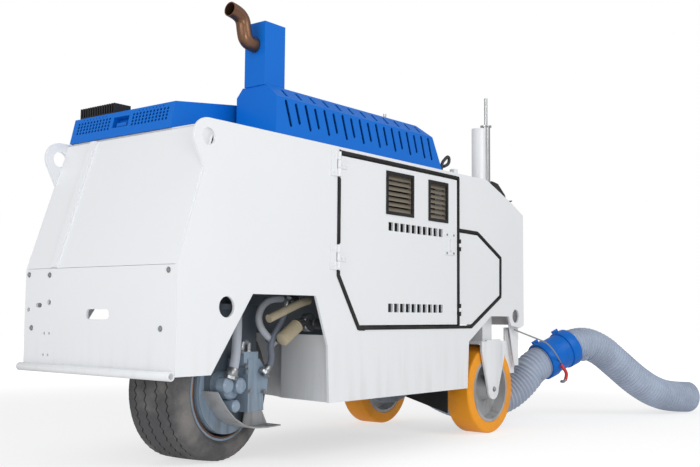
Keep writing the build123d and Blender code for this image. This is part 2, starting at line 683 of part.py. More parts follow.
with BuildPart() as steering_fork:
    with BuildSketch(side_plane(ARM_Y + ARM_THICK)):
        Polygon((STEER_X + ARM_HALF, FORK_Z + 20), (STEER_X + ARM_HALF, 262.0), (STEER_X + 44.0, 160.0), (STEER_X - 26.0, 136.0),
                (STEER_X - 130.0, 136.0), (STEER_X - ARM_HALF, 180.0), (STEER_X - ARM_HALF, FORK_Z + 20), align=None)
    extrude(amount=ARM_THICK)
    with BuildSketch(Plane.XY.offset(FORK_Z)):
        with Locations((STEER_X, STEER_Y)):
            Circle(170.0)
        with Locations((STEER_X, (STEER_Y + ARM_Y + ARM_THICK) / 2)):
            Rectangle(2 * ARM_HALF, ARM_Y + ARM_THICK - STEER_Y)
    extrude(amount=20.0)
    with BuildSketch(Plane.XY.offset(FORK_Z + 20.0)):
        with Locations((STEER_X, STEER_Y)):
            Circle(110.0)
    extrude(amount=BAY_ROOF_Z - FORK_Z - 20.0 - SEAT_GAP)
    with BuildSketch(Plane.XY.offset(FORK_Z + 20.0)):
        with Locations((STEER_X, STEER_Y)):
            Circle(KING_RADIUS)
    extrude(amount=BAY_ROOF_Z + 90.0 - FORK_Z - 20.0)
write_steered(steering_fork, "steering_fork")

SPINDLE_RADIUS = 42.0
DISC_Y = STEER_Y - 45.0
with BuildPart() as drive_gearbox:
    for radius, near, far in ((GEARBOX_RADIUS, ARM_Y, STEER_Y + 40.0), (120.0, STEER_Y + 40.0, STEER_Y - 20.0),
                              (SPINDLE_RADIUS, STEER_Y - 20.0, DISC_Y - 30.0)):
        with BuildSketch(side_plane(near)):
            with Locations((STEER_X, TYRE_RADIUS)):
                Circle(radius)
        extrude(amount=near - far)
write_steered(drive_gearbox, "drive_gearbox")

with BuildPart() as valve_block:
    with BuildSketch(side_plane(ARM_Y + ARM_THICK + 92.0)):
        Polygon((583.0, 375.0), (518.0, 375.0), (463.0, 322.0), (470.0, 250.0), (491.0, 248.0), (489.0, 188.0), (583.0, 188.0), align=None)
    extrude(amount=92.0)
write_steered(valve_block, "valve_block")

with BuildPart() as motor_guard:
    with BuildSketch(side_plane(ARM_Y + ARM_THICK + 82.0)):
        Polygon((STEER_X + 144.0, 255.0), (STEER_X + 42.0, 153.0), (STEER_X - 28.0, 128.0), (STEER_X - 148.0, 130.0),
                (STEER_X - 148.0, 135.7), (STEER_X - 27.0, 135.7), (STEER_X + 39.0, 158.7), (STEER_X + 138.3, 258.0), align=None)
    extrude(amount=82.0)
write_steered(motor_guard, "motor_guard")

with BuildPart() as drive_tyre:
    with BuildSketch(Plane.YZ.offset(STEER_X)):
        Polygon((STEER_Y - TYRE_WIDTH / 2 + 10, TYRE_RADIUS + RIM_RADIUS + SEAT_GAP), (STEER_Y - TYRE_WIDTH / 2, TYRE_RADIUS + RIM_RADIUS + 24),
                (STEER_Y - TYRE_WIDTH / 2 + 3, 2 * TYRE_RADIUS - 24), (STEER_Y - TYRE_WIDTH / 2 + 26, 2 * TYRE_RADIUS - 4),
                (STEER_Y, 2 * TYRE_RADIUS),
                (STEER_Y + TYRE_WIDTH / 2 - 26, 2 * TYRE_RADIUS - 4), (STEER_Y + TYRE_WIDTH / 2 - 3, 2 * TYRE_RADIUS - 24),
                (STEER_Y + TYRE_WIDTH / 2, TYRE_RADIUS + RIM_RADIUS + 24), (STEER_Y + TYRE_WIDTH / 2 - 10, TYRE_RADIUS + RIM_RADIUS + SEAT_GAP),
                align=None)
    revolve(axis=wheel_axis)
write_steered(drive_tyre, "drive_tyre")

with BuildPart() as drive_rim:
    with BuildSketch(Plane.YZ.offset(STEER_X)):
        with Locations((STEER_Y, TYRE_RADIUS + RIM_RADIUS - 4.0)):
            Rectangle(TYRE_WIDTH - 16.0, 8.0)
        with Locations((DISC_Y, TYRE_RADIUS + RIM_RADIUS / 2)):
            Rectangle(12.0, RIM_RADIUS - 4.0)
        with Locations((DISC_Y - 8.0, TYRE_RADIUS + 35.0)):
            Rectangle(28.0, 70.0)
        with Locations((STEER_Y, TYRE_RADIUS)):
            Rectangle(TYRE_WIDTH, 2 * (SPINDLE_RADIUS + PIN_CLEARANCE), mode=Mode.SUBTRACT)
    revolve(axis=wheel_axis)
write_steered(drive_rim, "drive_rim")

# ---- Dust hose ----

HOSE_START_X = case_rear - 10.0 - SEAT_GAP
HOSE_END_Z = HOSE_RADIUS + 1.0
coupling_start = Vector(-1460.0, 328.0, 310.0)
coupling_end = Vector(-1590.0, 385.0, 368.0)
coupling_way = coupling_end - coupling_start
lower_route = [(HOSE_START_X, 0, 330.0), (-620.0, 0, 330.0), (-770.0, 15.0, 255.0), (-920.0, 50.0, 150.0),
               (-1080.0, 118.0, 98.0), (-1225.0, 215.0, 125.0), (-1322.0, 270.0, 200.0),
               tuple(coupling_start - coupling_way * 0.6), tuple(coupling_start)]
upper_route = [tuple(coupling_end), tuple(coupling_end + coupling_way * 0.6), (-1800.0, 470.0, 372.0),
               (-1930.0, 528.0, 275.0), (-2060.0, 576.0, 185.0), (-2200.0, 624.0, 118.0), (-2330.0, 671.0, 90.0),
               (-2457.0, 718.0, HOSE_END_Z)]


def hose_bends(route):
    radii = []
    for before, corner, after in zip(route, route[1:], route[2:]):
        into = Vector(*corner) - Vector(*before)
        out = Vector(*after) - Vector(*corner)
        half_turn = math.radians(into.get_angle(out)) / 2
        radii.append(0.45 * min(into.length, out.length) / math.tan(half_turn))
    return radii


def hose_tube(route, outer, wall):
    start = Vector(*route[0])
    with BuildPart() as tube:
        with BuildLine() as path:
            FilletPolyline(*route, radius=hose_bends(route))
        with BuildSketch(Plane(origin=start, z_dir=Vector(*route[1]) - start)):
            Circle(outer)
            Circle(outer - wall, mode=Mode.SUBTRACT)
        sweep()
    length = sum(edge.length for edge in path.line.edges())
    section = math.pi * (outer ** 2 - (outer - wall) ** 2)
    print("hose bends", [round(radius) for radius in hose_bends(route)], "length", round(length),
          "volume over section times length", round(tube.part.volume / (section * length), 4))
    return tube


hose_lower = hose_tube(lower_route, HOSE_RADIUS, HOSE_WALL)
write(hose_lower, "hose_lower")
hose_upper = hose_tube(upper_route, HOSE_RADIUS, HOSE_WALL)
write(hose_upper, "hose_upper")

COLLAR_LAP = 24.0
with BuildPart() as hose_coupling:
    with BuildSketch(Plane(origin=coupling_start, z_dir=coupling_way)):
        Circle(HOSE_RADIUS + 5.0)
        Circle(HOSE_RADIUS - HOSE_WALL, mode=Mode.SUBTRACT)
    extrude(amount=coupling_way.length)
    for end, way in ((coupling_start, coupling_way), (coupling_end, coupling_way * -1)):
        with BuildSketch(Plane(origin=end - way.normalized() * COLLAR_LAP, z_dir=way)):
            Circle(HOSE_RADIUS + 12.0)
            Circle(HOSE_RADIUS + SEAT_GAP, mode=Mode.SUBTRACT)
        extrude(amount=COLLAR_LAP + 30.0)
        with BuildSketch(Plane(origin=end, z_dir=way)):
            Circle(HOSE_RADIUS + 2.0)
            Circle(HOSE_RADIUS - HOSE_WALL, mode=Mode.SUBTRACT)
        extrude(amount=31.0)
write(hose_coupling, "hose_coupling")
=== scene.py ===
# %% [markdown]
# A wheeled compact cold planer, dressed for its portrait. The machine's steel comes in
# as a finished frame: every plate, wheel and hinge already has its size and place. What
# is left is what a painter and a fitter would add: paint that has been outdoors, ribs on
# the dust hose, tread on the drive tyre, screws, seals, hydraulic hoses and light.
#
# The file reads from top to bottom like a notebook. Each step first says what the real
# thing is and why it is made the way it is, and then makes it.

# %% The frame
import json
import math

import bmesh
import bpy
from mathutils import Matrix, Vector


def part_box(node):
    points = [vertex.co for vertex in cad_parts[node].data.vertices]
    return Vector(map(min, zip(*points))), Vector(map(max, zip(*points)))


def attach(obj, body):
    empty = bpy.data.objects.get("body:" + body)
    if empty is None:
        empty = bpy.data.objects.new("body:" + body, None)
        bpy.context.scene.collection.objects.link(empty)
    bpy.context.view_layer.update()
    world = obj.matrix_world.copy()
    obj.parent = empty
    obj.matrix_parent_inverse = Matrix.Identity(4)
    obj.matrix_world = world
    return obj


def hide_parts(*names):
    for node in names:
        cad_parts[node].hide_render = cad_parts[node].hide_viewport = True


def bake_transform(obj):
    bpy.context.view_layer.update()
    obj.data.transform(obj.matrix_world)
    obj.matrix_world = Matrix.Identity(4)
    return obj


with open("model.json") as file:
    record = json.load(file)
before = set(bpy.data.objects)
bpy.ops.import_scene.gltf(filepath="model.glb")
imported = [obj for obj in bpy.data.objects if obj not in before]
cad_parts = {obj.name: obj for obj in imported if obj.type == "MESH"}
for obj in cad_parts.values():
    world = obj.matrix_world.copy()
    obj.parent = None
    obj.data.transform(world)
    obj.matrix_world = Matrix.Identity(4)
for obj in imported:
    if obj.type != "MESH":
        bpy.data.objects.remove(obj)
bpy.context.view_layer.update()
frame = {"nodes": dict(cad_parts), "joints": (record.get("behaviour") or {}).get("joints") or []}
nodes = frame["nodes"]
joints = {joint["name"]: joint for joint in frame["joints"]}

# %% [markdown]
# Both materials and Geometry Nodes are trees of nodes, and maths in them reads best as
# plain arithmetic. A small class wraps one socket, so that `1 - mask * 0.5` adds its own
# Math nodes. Wired by hand, the same line would take two nodes, two links and two typed
# values, and nobody could read it afterwards.


# %% Socket arithmetic
class Wire:
    """One output socket of a tree, with the arithmetic that a maker writes."""

    def __init__(self, tree, socket):
        self.tree = tree
        self.socket = socket

    def maths(self, operation, *values):
        return self.tree.node("ShaderNodeMath", {"operation": operation}, dict(enumerate(values)))

    def __add__(self, other):
        return self.maths("ADD", self, other)

    def __sub__(self, other):
        return self.maths("SUBTRACT", self, other)

    def __mul__(self, other):
        return self.maths("MULTIPLY", self, other)

    def __truediv__(self, other):
        return self.maths("DIVIDE", self, other)

    def __rsub__(self, other):
        return self.maths("SUBTRACT", other, self)

    __radd__ = __add__
    __rmul__ = __mul__

    def between(self, low, high):
        """0 below low, 1 above high, and smooth in between."""
        settings = {"interpolation_type": "SMOOTHSTEP"}
        return self.tree.node("ShaderNodeMapRange", settings, {0: self, 1: low, 2: high})

    def other(self, key):
        """Another output of the same node."""
        return Wire(self.tree, self.socket.node.outputs[key])


# %% [markdown]
# One method of a tree adds any node from its type, its settings and its inputs. Settings
# come first, because some of them change which inputs the node has.


# %% Trees
class Tree:
    """A node tree. `node` adds one node, `split` and `joined` take vectors apart and
    together, and `end` adds the last node."""

    def __init__(self, tree):
        self.tree = tree

    def plug(self, socket, value):
        if isinstance(value, Wire):
            self.tree.links.new(value.socket, socket)
        else:
            socket.default_value = value

    def node(self, kind, settings=None, values=None, out=0):
        made = self.tree.nodes.new(kind)
        for key, value in (settings or {}).items():
            setattr(made, key, value)
        for key, value in (values or {}).items():
            self.plug(made.inputs[key], value)
        return Wire(self, made.outputs[out])

    def split(self, vector):
        across = self.node("ShaderNodeSeparateXYZ", values={0: vector})
        return across, across.other(1), across.other(2)

    def joined(self, x=0.0, y=0.0, z=0.0):
        return self.node("ShaderNodeCombineXYZ", values={0: x, 1: y, 2: z})

    def end(self, kind, result):
        """An output node: it only takes, so it has no socket to hand on."""
        self.tree.links.new(result.socket, self.tree.nodes.new(kind).inputs[0])


# %% [markdown]
# A finish is a material. It reads the place on the machine in metres, so that a pattern
# runs on over neighbouring plates at one scale, and it ends in one Principled shader.


# %% Finishes
class Finish(Tree):
    """A material under construction."""

    def __init__(self, name):
        self.material = bpy.data.materials.new(name)
        self.material.use_nodes = True
        super().__init__(self.material.node_tree)
        self.tree.nodes.clear()

    def place(self):
        """Object coordinates: metres in the machine's own frame."""
        return self.node("ShaderNodeTexCoord", out="Object")

    def noise(self, vector, scale, detail=3.0, rough=0.55):
        inputs = {"Vector": vector, "Scale": scale, "Detail": detail, "Roughness": rough}
        return self.node("ShaderNodeTexNoise", values=inputs)

    def stretched(self, vector, scale):
        return self.node("ShaderNodeMapping", values={"Vector": vector, "Scale": scale})

    def mix(self, factor, first, second):
        """One colour into another."""
        inputs = {0: factor, 6: first, 7: second}
        return self.node("ShaderNodeMix", {"data_type": "RGBA"}, inputs, out=2)

    def bump(self, height, strength, distance):
        inputs = {"Height": height, "Strength": strength, "Distance": distance}
        return self.node("ShaderNodeBump", values=inputs)

    def surface(self, **inputs):
        """The Principled shader, its sockets named with _ for a blank, and the finished material."""
        values = {key.replace("_", " "): value for key, value in inputs.items()}
        self.end("ShaderNodeOutputMaterial", self.node("ShaderNodeBsdfPrincipled", values=values))
        return self.material


# %% [markdown]
# A recipe is a Geometry Nodes tree for what repeats: tread, ribs, bolts. Its inputs have
# names and sizes of their own. What it makes is stored as a plain mesh, so that nothing
# later depends on the tree.


# %% Recipes
def shown(holder):
    """The plain mesh that an object shows with its modifiers. The object itself goes."""
    seen = holder.evaluated_get(bpy.context.evaluated_depsgraph_get())
    mesh = bpy.data.meshes.new_from_object(seen)
    bpy.data.objects.remove(holder)
    return mesh


class Recipe(Tree):
    """A Geometry Nodes tree with named inputs. `close` ends it, `make` bakes one mesh."""

    KINDS = {float: "NodeSocketFloat", int: "NodeSocketInt"}

    def __init__(self, name, **inputs):
        super().__init__(bpy.data.node_groups.new(name, "GeometryNodeTree"))
        sockets = self.tree.interface
        sockets.new_socket("Geometry", in_out="INPUT", socket_type="NodeSocketGeometry")
        sockets.new_socket("Geometry", in_out="OUTPUT", socket_type="NodeSocketGeometry")
        sockets.new_socket("Material", in_out="INPUT", socket_type="NodeSocketMaterial")
        for title, value in inputs.items():
            socket = sockets.new_socket(title, in_out="INPUT", socket_type=self.KINDS[type(value)])
            socket.default_value = value
        self.entry = self.tree.nodes.new("NodeGroupInput")

    def given(self, title):
        return Wire(self, self.entry.outputs[title])

    def close(self, geometry):
        real = self.node("GeometryNodeRealizeInstances", values={0: geometry})
        inputs = {"Geometry": real, "Material": self.given("Material")}
        self.end("NodeGroupOutput", self.node("GeometryNodeSetMaterial", values=inputs))

    def make(self, name, start, material, **values):
        """Runs the tree on a starting object and returns the result as a plain mesh."""
        bpy.context.scene.collection.objects.link(start)
        modifier = start.modifiers.new(name, "NODES")
        modifier.node_group = self.tree
        inputs = [item for item in self.tree.interface.items_tree if item.in_out == "INPUT"]
        titles = {item.name: item.identifier for item in inputs}
        for title, value in {"Material": material, **values}.items():
            modifier[titles[title]] = value
        mesh = shown(start)
        mesh.name = name
        return mesh


# %% [markdown]
# Paint charts give colours as three numbers from 0 to 255, spaced evenly for the eye.
# The shader counts light instead, so each number is straightened out before it is used.


# %% Chart colours
def colour(*chart):
    """A colour as a painter's chart gives it, 0 to 255, made linear for the shader."""
    linear = []
    for value in chart:
        share = value / 255
        linear.append(share / 12.92 if share <= 0.04045 else ((share + 0.055) / 1.055) ** 2.4)
    return (*linear, 1.0)


print("mid grey on the chart is", round(colour(128, 128, 128)[0], 3), "for the shader")

# %% [markdown]
# The camera stands low beside the machine's front corner, about as high as a wheel, and
# looks slightly up, so that the machine looms. Its turn is built from three unit vectors:
# that keeps yaw, pitch and roll apart, which stacked rotations would mix.

# %% Camera
CAMERA_SPOT = Vector((3.0, 2.59, 0.5432))
CAMERA_YAW = math.radians(38.45)
CAMERA_PITCH = math.radians(4.79)
CAMERA_ROLL = math.radians(0.48)
CAMERA_LENS = 48.73
SENSOR_WIDTH = 36.0


def camera_frame(yaw, pitch, roll):
    """Right, up and backward unit vectors of a camera that looks along -X when yaw is 0."""
    level_reach = math.cos(pitch)
    forward = Vector((-math.cos(yaw) * level_reach, -math.sin(yaw) * level_reach, math.sin(pitch)))
    level = Vector((-math.sin(yaw), math.cos(yaw), 0.0))
    above = level.cross(forward)
    right = level * math.cos(roll) + above * math.sin(roll)
    return right, right.cross(forward), -forward


camera_data = bpy.data.cameras.new("camera")
camera_data.lens = CAMERA_LENS
camera_data.sensor_width = SENSOR_WIDTH
camera = bpy.data.objects.new("camera", camera_data)
turn = Matrix(camera_frame(CAMERA_YAW, CAMERA_PITCH, CAMERA_ROLL)).transposed()
camera.matrix_world = Matrix.Translation(CAMERA_SPOT) @ turn.to_4x4()
bpy.context.scene.collection.objects.link(camera)
bpy.context.scene.camera = camera
bpy.context.scene.view_settings.view_transform = "Standard"
print("camera", round(CAMERA_SPOT.length, 2), "m from the middle, lens", CAMERA_LENS, "mm")

# %% [markdown]
# The sky is one even, soft light, which fills every shadow a little. It lights the paint
# at a plain level, so that a colour on the chart comes out as that colour, while the
# camera itself sees it as white. Light Path tells the two apart.

# %% Sky
SKY_LEVEL = 0.52
WHITE = (1.0, 1.0, 1.0, 1.0)

world = bpy.data.worlds.new("studio_sky")
bpy.context.scene.world = world
world.use_nodes = True
world.node_tree.nodes.clear()
sky = Tree(world.node_tree)
looked_at = sky.node("ShaderNodeLightPath", out="Is Camera Ray")
shows = looked_at.maths("MAXIMUM", looked_at, looked_at.other("Is Transmission Ray"))
strength = sky.node("ShaderNodeMapRange", values={0: shows, "To Min": SKY_LEVEL, "To Max": 1.0})
light = sky.node("ShaderNodeBackground", values={"Color": WHITE, "Strength": strength})
sky.end("ShaderNodeOutputWorld", light)
print("sky lights the machine at", SKY_LEVEL)

# %% [markdown]
# Three round lamps give the plates their shape: a large one high on the near side, one
# before the front, and a small low one that reaches into the wheel bay. Large lamps have
# soft shadows, as a cloth in front of a studio lamp gives.

# %% Lamps
MIDDLE = (-0.2, 0.0, 0.7)
# name, place, looks at, width in metres, watts
LAMPS = [
    ("side_lamp", (-0.6, 5.5, 4.2), MIDDLE, 4.0, 130.0),
    ("front_lamp", (5.0, 0.5, 2.6), MIDDLE, 3.0, 80.0),
    ("low_lamp", (2.6, 3.4, 0.7), (0.5, 0.2, 0.4), 1.2, 26.0),
]
for name, spot, target, width, watts in LAMPS:
    lamp = bpy.data.lights.new(name, "AREA")
    lamp.shape = "DISK"
    lamp.size = width
    lamp.energy = watts
    holder = bpy.data.objects.new(name, lamp)
    way = Vector(target) - Vector(spot)
    holder.matrix_world = Matrix.Translation(spot) @ way.to_track_quat("-Z", "Y").to_matrix().to_4x4()
    bpy.context.scene.collection.objects.link(holder)
    print(name, watts, "W")

# %% [markdown]
# The floor is a sheet of paper that keeps the machine's shadow. To the camera it also
# glows, more and more with the distance, so that it meets the sky without a line. To
# everything else it glows less, or the machine would be lit from below.

# %% Floor
FLOOR_REACH = 15.0
FLOOR_SHADE = 0.45
FLOOR_GLOW = 0.62
FLOOR_SPILL = 0.34
FLOOR_FADE = (2.2, 6.0)

floor_mesh = bpy.data.meshes.new("floor")
corners = [(x * FLOOR_REACH, y * FLOOR_REACH, 0) for x, y in ((-1, -1), (1, -1), (1, 1), (-1, 1))]
floor_mesh.from_pydata(corners, [], [(0, 1, 2, 3)])
floor = bpy.data.objects.new("floor", floor_mesh)
bpy.context.scene.collection.objects.link(floor)
floor_paper = Finish("floor_paper")
shade = (FLOOR_SHADE, FLOOR_SHADE, FLOOR_SHADE, 1.0)
paper = floor_paper.node("ShaderNodeBsdfDiffuse", values={"Color": shade})
looked_at = floor_paper.node("ShaderNodeLightPath", out="Is Camera Ray")
spot = floor_paper.place()
distance = floor_paper.node("ShaderNodeVectorMath", {"operation": "LENGTH"}, {0: spot}, out=1)
to_camera = distance.between(*FLOOR_FADE) * (1.0 - FLOOR_GLOW) + FLOOR_GLOW
glow = looked_at * (to_camera - FLOOR_SPILL) + FLOOR_SPILL
lit = floor_paper.node("ShaderNodeEmission", values={"Strength": glow})
both = floor_paper.node("ShaderNodeAddShader", values={0: paper, 1: lit})
floor_paper.end("ShaderNodeOutputMaterial", both)
floor_mesh.materials.append(floor_paper.material)
print("floor", 2 * FLOOR_REACH, "m wide")

# %% [markdown]
# Paint on a working machine is never one flat colour. It has the fine waviness of spray,
# gloss that varies where hands and dust have been, and grime that gathers low down. This
# could be painted by hand on each part. Noise that reads the place in space is used
# instead: it fits every plate at any distance, and lets all paints share one recipe and
# differ in their chart colours only.


# %% Paint
GRIME_FULL = 0.15


def paint(name, base, grime, low_grime=0.25, rough=0.38, grime_top=0.55, coat=0.2, shine=0.5):
    """A sprayed coat: grime starts at grime_top metres and is full at GRIME_FULL."""
    finish = Finish(name)
    place = finish.place()
    _, _, height = finish.split(place)
    clouds = finish.noise(place, 2.2, 4.0)
    specks = finish.noise(place, 55.0, 3.0)
    runs = finish.noise(finish.stretched(place, (9.0, 9.0, 0.9)), 3.0, 4.0)
    low = 1 - height.between(GRIME_FULL, grime_top)
    dirt = low * runs.between(0.42, 0.72) * low_grime + specks.between(0.66, 0.8) * clouds * low * 0.5
    tone = finish.mix(clouds * 0.5, base, tuple(value * 0.90 for value in base[:3]) + (1.0,))
    shade = finish.mix(dirt, tone, grime)
    spray = finish.noise(place, 420.0, 2.0)
    return finish.surface(
        Normal=finish.bump(spray, 0.06, 0.0006),
        Base_Color=shade,
        Roughness=clouds * 0.16 + specks * 0.08 + dirt * 0.3 + (rough - 0.12),
        Coat_Weight=coat - dirt * coat,
        Specular_IOR_Level=shine,
        Coat_Roughness=0.18,
    )


GRIME = colour(120, 108, 92)
white_paint = paint("white_paint", colour(232, 234, 237), GRIME, low_grime=0.12)
deck_paint = paint("deck_paint", colour(226, 228, 231), GRIME, low_grime=0.12)
blue_paint = paint("blue_paint", colour(0, 106, 204), colour(40, 52, 80), rough=0.42, coat=0.04,
                   shine=0.2)
frame_paint = paint("frame_paint", colour(92, 102, 112), colour(60, 54, 48), low_grime=0.6)
wheel_paint = paint("wheel_paint", colour(168, 170, 173), colour(110, 100, 88), low_grime=0.5)
hydraulic_paint = paint("hydraulic_paint", colour(140, 158, 176), colour(70, 66, 62), low_grime=0.5)


# %% [markdown]
# Rubber, urethane, plastics and bare metals. Rubber is nearly black and dull, with a
# bloom of road dust; urethane is a clear-bodied orange, scuffed where it rolls; bare
# steel is streaked along its length, and heated steel turns bronze. Two recipes are
# enough: one is a dull body with dust on it, the other is metal with streaks. A smooth
# black would look wet, so even the blackest part gets a fine grain that breaks its shine.


# %% Rubber, plastic and metal
def rubber(name, base, dust, amount, rough=0.72, grain=260.0):
    finish = Finish(name)
    place = finish.place()
    clouds = finish.noise(place, 7.0, 5.0)
    grains = finish.noise(place, grain, 3.0)
    dusty = clouds.between(0.38, 0.72) * amount + grains.between(0.55, 0.75) * amount * 0.4
    return finish.surface(
        Normal=finish.bump(grains, 0.25, 0.0012),
        Base_Color=finish.mix(dusty, base, dust),
        Roughness=grains * 0.15 + (rough - 0.05),
        Specular_IOR_Level=0.35,
    )


def metal(name, light, dark, rough=0.32, along=(1.0, 1.0, 1.0), metallic=1.0):
    """Drawn or cast metal: `along` stretches the streaks, a small value in their way."""
    finish = Finish(name)
    place = finish.place()
    streaks = finish.noise(finish.stretched(place, along), 60.0, 4.0)
    clouds = finish.noise(place, 9.0, 4.0)
    return finish.surface(
        Normal=finish.bump(streaks, 0.12, 0.0005),
        Base_Color=finish.mix(clouds * 0.6 + streaks * 0.4, light, dark),
        Roughness=streaks * 0.2 + clouds * 0.1 + (rough - 0.15),
        Metallic=metallic,
    )


tyre_rubber = rubber("tyre_rubber", colour(84, 84, 86), colour(150, 146, 142), 0.6)
black_rubber = rubber("black_rubber", colour(26, 26, 28), colour(80, 78, 76), 0.2)
black_plastic = rubber("black_plastic", colour(28, 28, 30), colour(70, 70, 72), 0.15, rough=0.5,
                       grain=500.0)
urethane = rubber("urethane", colour(246, 160, 22), colour(176, 110, 40), 0.35, rough=0.42, grain=120.0)
hose_wall = rubber("hose_wall", colour(172, 184, 204), colour(122, 132, 146), 0.35, rough=0.36, grain=300.0)
bare_steel = metal("bare_steel", colour(205, 207, 208), colour(150, 152, 154), along=(1.0, 1.0, 0.05))
zinc = metal("zinc", colour(196, 198, 200), colour(128, 130, 132), rough=0.4)
tool_steel = metal("tool_steel", colour(112, 106, 100), colour(62, 54, 48), rough=0.6, metallic=0.7)
heated_steel = metal("heated_steel", colour(158, 118, 92), colour(70, 48, 38), rough=0.36,
                     metallic=0.85)
louvre_metal = metal("louvre_metal", colour(168, 158, 142), colour(120, 112, 100), rough=0.5,
                     metallic=0.4)
engine_iron = metal("engine_iron", colour(70, 72, 74), colour(38, 38, 40), rough=0.65, metallic=0.3)
print(len(bpy.data.materials), "materials, the floor's and the frame's own included")

# %% [markdown]
# Every part of the steel frame that needs no new shape keeps its own mesh and simply
# gets its coat. The table says which finish each sub-part wears, as a paint shop's job
# card would. Parts that a new piece stands in for, further down, aren't on the card.

# %% Coats for the frame
coats = {
    white_paint: ["side_plate_left", "side_plate_right", "front_panel", "bumper_tube", "rear_panel",
                  "bay_wall", "leg_left", "leg_right", "rear_brackets", "door_left", "door_right",
                  "rear_door_left", "rear_door_right"],
    deck_paint: ["deck"],
    blue_paint: ["exhaust_stack", "hose_coupling"],
    frame_paint: ["bay_roof", "bulkheads", "drum_housing", "drum_sides", "steering_fork"],
    hydraulic_paint: ["drive_gearbox", "valve_block", "drive_rim"],
    black_rubber: ["edge_trim", "rubber_curtain"],
    black_plastic: ["door_posts"],
    bare_steel: ["depth_rods"],
    tool_steel: ["milling_drum"],
    louvre_metal: ["door_louvre_left", "door_louvre_right"],
    engine_iron: ["engine_block"],
}
for finish, names in coats.items():
    for name in names:
        mesh = nodes[name].data
        mesh.materials.clear()
        mesh.materials.append(finish)
unlisted = sorted(set(nodes) - {name for names in coats.values() for name in names})
print("coats on", len(nodes) - len(unlisted), "sub-parts; to be replaced:", unlisted)

# %% [markdown]
# Sheet steel is never knife-sharp. The white and blue frame parts get a narrow round on their
# edges, which catches the light, and the rubber trim gets a round bead instead of a flat band.
# The frame's meshes are loose triangles, so they are welded first: a bevel needs faces
# that share their edges.

# %% Soft edges
EDGE_ROUND = 0.0016
BEAD_ROUND = 0.0042
WELD_GAP = 1e-5
SHARP_FROM = math.radians(40.0)
soft_edges = {
    EDGE_ROUND: coats[white_paint] + coats[deck_paint] + coats[blue_paint],
    BEAD_ROUND: ["edge_trim"],
}
for width, names in soft_edges.items():
    for name in names:
        weld = nodes[name].modifiers.new("weld", "WELD")
        weld.merge_threshold = WELD_GAP
        rounding = nodes[name].modifiers.new("round", "BEVEL")
        rounding.width = width
        rounding.segments = 2
        rounding.limit_method = "ANGLE"
        rounding.angle_limit = SHARP_FROM
        rounding.harden_normals = True
    print("edges rounded by", width, "m on", len(names), "sub-parts")

# %% [markdown]
# Three ways of making shapes cover most of the machine's small parts. A ring is a
# profile turned round an axle. A plate is an outline with a thickness. A pipe is a round
# section that follows a smooth line. Each gives a plain mesh in the machine's own frame,
# and `fit` hangs it on the body it belongs to. They are written out, rather than added as
# ready-made cylinders and boxes, because then every size can come from a named value.


# %% Rings, plates and blocks
def mesh_from(form, name):
    """A bmesh made whole: doubles merged, faces turned outwards, and stored as a mesh."""
    bmesh.ops.remove_doubles(form, verts=form.verts, dist=WELD_GAP)
    bmesh.ops.recalc_face_normals(form, faces=form.faces)
    mesh = bpy.data.meshes.new(name)
    form.to_mesh(mesh)
    form.free()
    return mesh


def one_mesh(parts, name, place=None):
    """Several meshes as one, moved by a matrix where one is given."""
    form = bmesh.new()
    for part in parts:
        form.from_mesh(part)
    if place is not None:
        bmesh.ops.transform(form, matrix=place, verts=form.verts)
    return mesh_from(form, name)


def ring(profile, axle, steps=96):
    """profile is a closed loop of (along the axle, radius); the axle is the matrix's Z."""
    form = bmesh.new()
    loops = []
    for step in range(steps):
        right, up = math.cos(2 * math.pi * step / steps), math.sin(2 * math.pi * step / steps)
        spots = [axle @ Vector((radius * right, radius * up, along)) for along, radius in profile]
        loops.append([form.verts.new(spot) for spot in spots])
    for first, second in zip(loops, loops[1:] + loops[:1]):
        for start in range(len(profile)):
            end = (start + 1) % len(profile)
            if profile[start][1] + profile[end][1] > 1e-6:
                form.faces.new([first[start], first[end], second[end], second[start]])
    return mesh_from(form, "ring")


def plate(outline, thickness, place, rounding=0.0):
    """outline is a list of (x, y) on the matrix's own plane; the plate grows along its Z."""
    form = bmesh.new()
    foot = [form.verts.new(place @ Vector((x, y, 0.0))) for x, y in outline]
    grown = bmesh.ops.extrude_face_region(form, geom=[form.faces.new(foot)])["geom"]
    rise = place.to_3x3() @ Vector((0.0, 0.0, thickness))
    top = [part for part in grown if isinstance(part, bmesh.types.BMVert)]
    bmesh.ops.translate(form, vec=rise, verts=top)
    if rounding:
        bmesh.ops.bevel(form, geom=form.edges[:], offset=rounding, segments=2, affect="EDGES", profile=0.5,
                        clamp_overlap=True)
    return mesh_from(form, "plate")


def rectangle(low, high):
    """The four corners of an upright rectangle."""
    return [(low[0], low[1]), (high[0], low[1]), (high[0], high[1]), (low[0], high[1])]


def block(low, high, place=Matrix.Identity(4), rounding=0.002):
    """A box with softened edges between two corners."""
    foot = place @ Matrix.Translation((0.0, 0.0, low[2]))
    return plate(rectangle(low, high), high[2] - low[2], foot, rounding)


# %% [markdown]
# A hose or a bent rod is a NURBS curve with a round section. The curve only leans on its
# guide points, as a hose leans into a bend, and so it never kinks as a line from point to
# point would. It is turned into a mesh at once, because the pieces are joined as meshes.


# %% Lines and pipes
def line(points):
    """A smooth spline through space that hugs its guide points."""
    curve = bpy.data.curves.new("line", "CURVE")
    curve.dimensions = "3D"
    spline = curve.splines.new("NURBS")
    spline.points.add(len(points) - 1)
    for point, spot in zip(spline.points, points):
        point.co = (*spot, 1.0)
    spline.order_u = 3
    spline.use_endpoint_u = True
    spline.resolution_u = 8
    return curve


def plain(curve):
    """A curve as the mesh it shows."""
    holder = bpy.data.objects.new("holder", curve)
    bpy.context.scene.collection.objects.link(holder)
    return shown(holder)


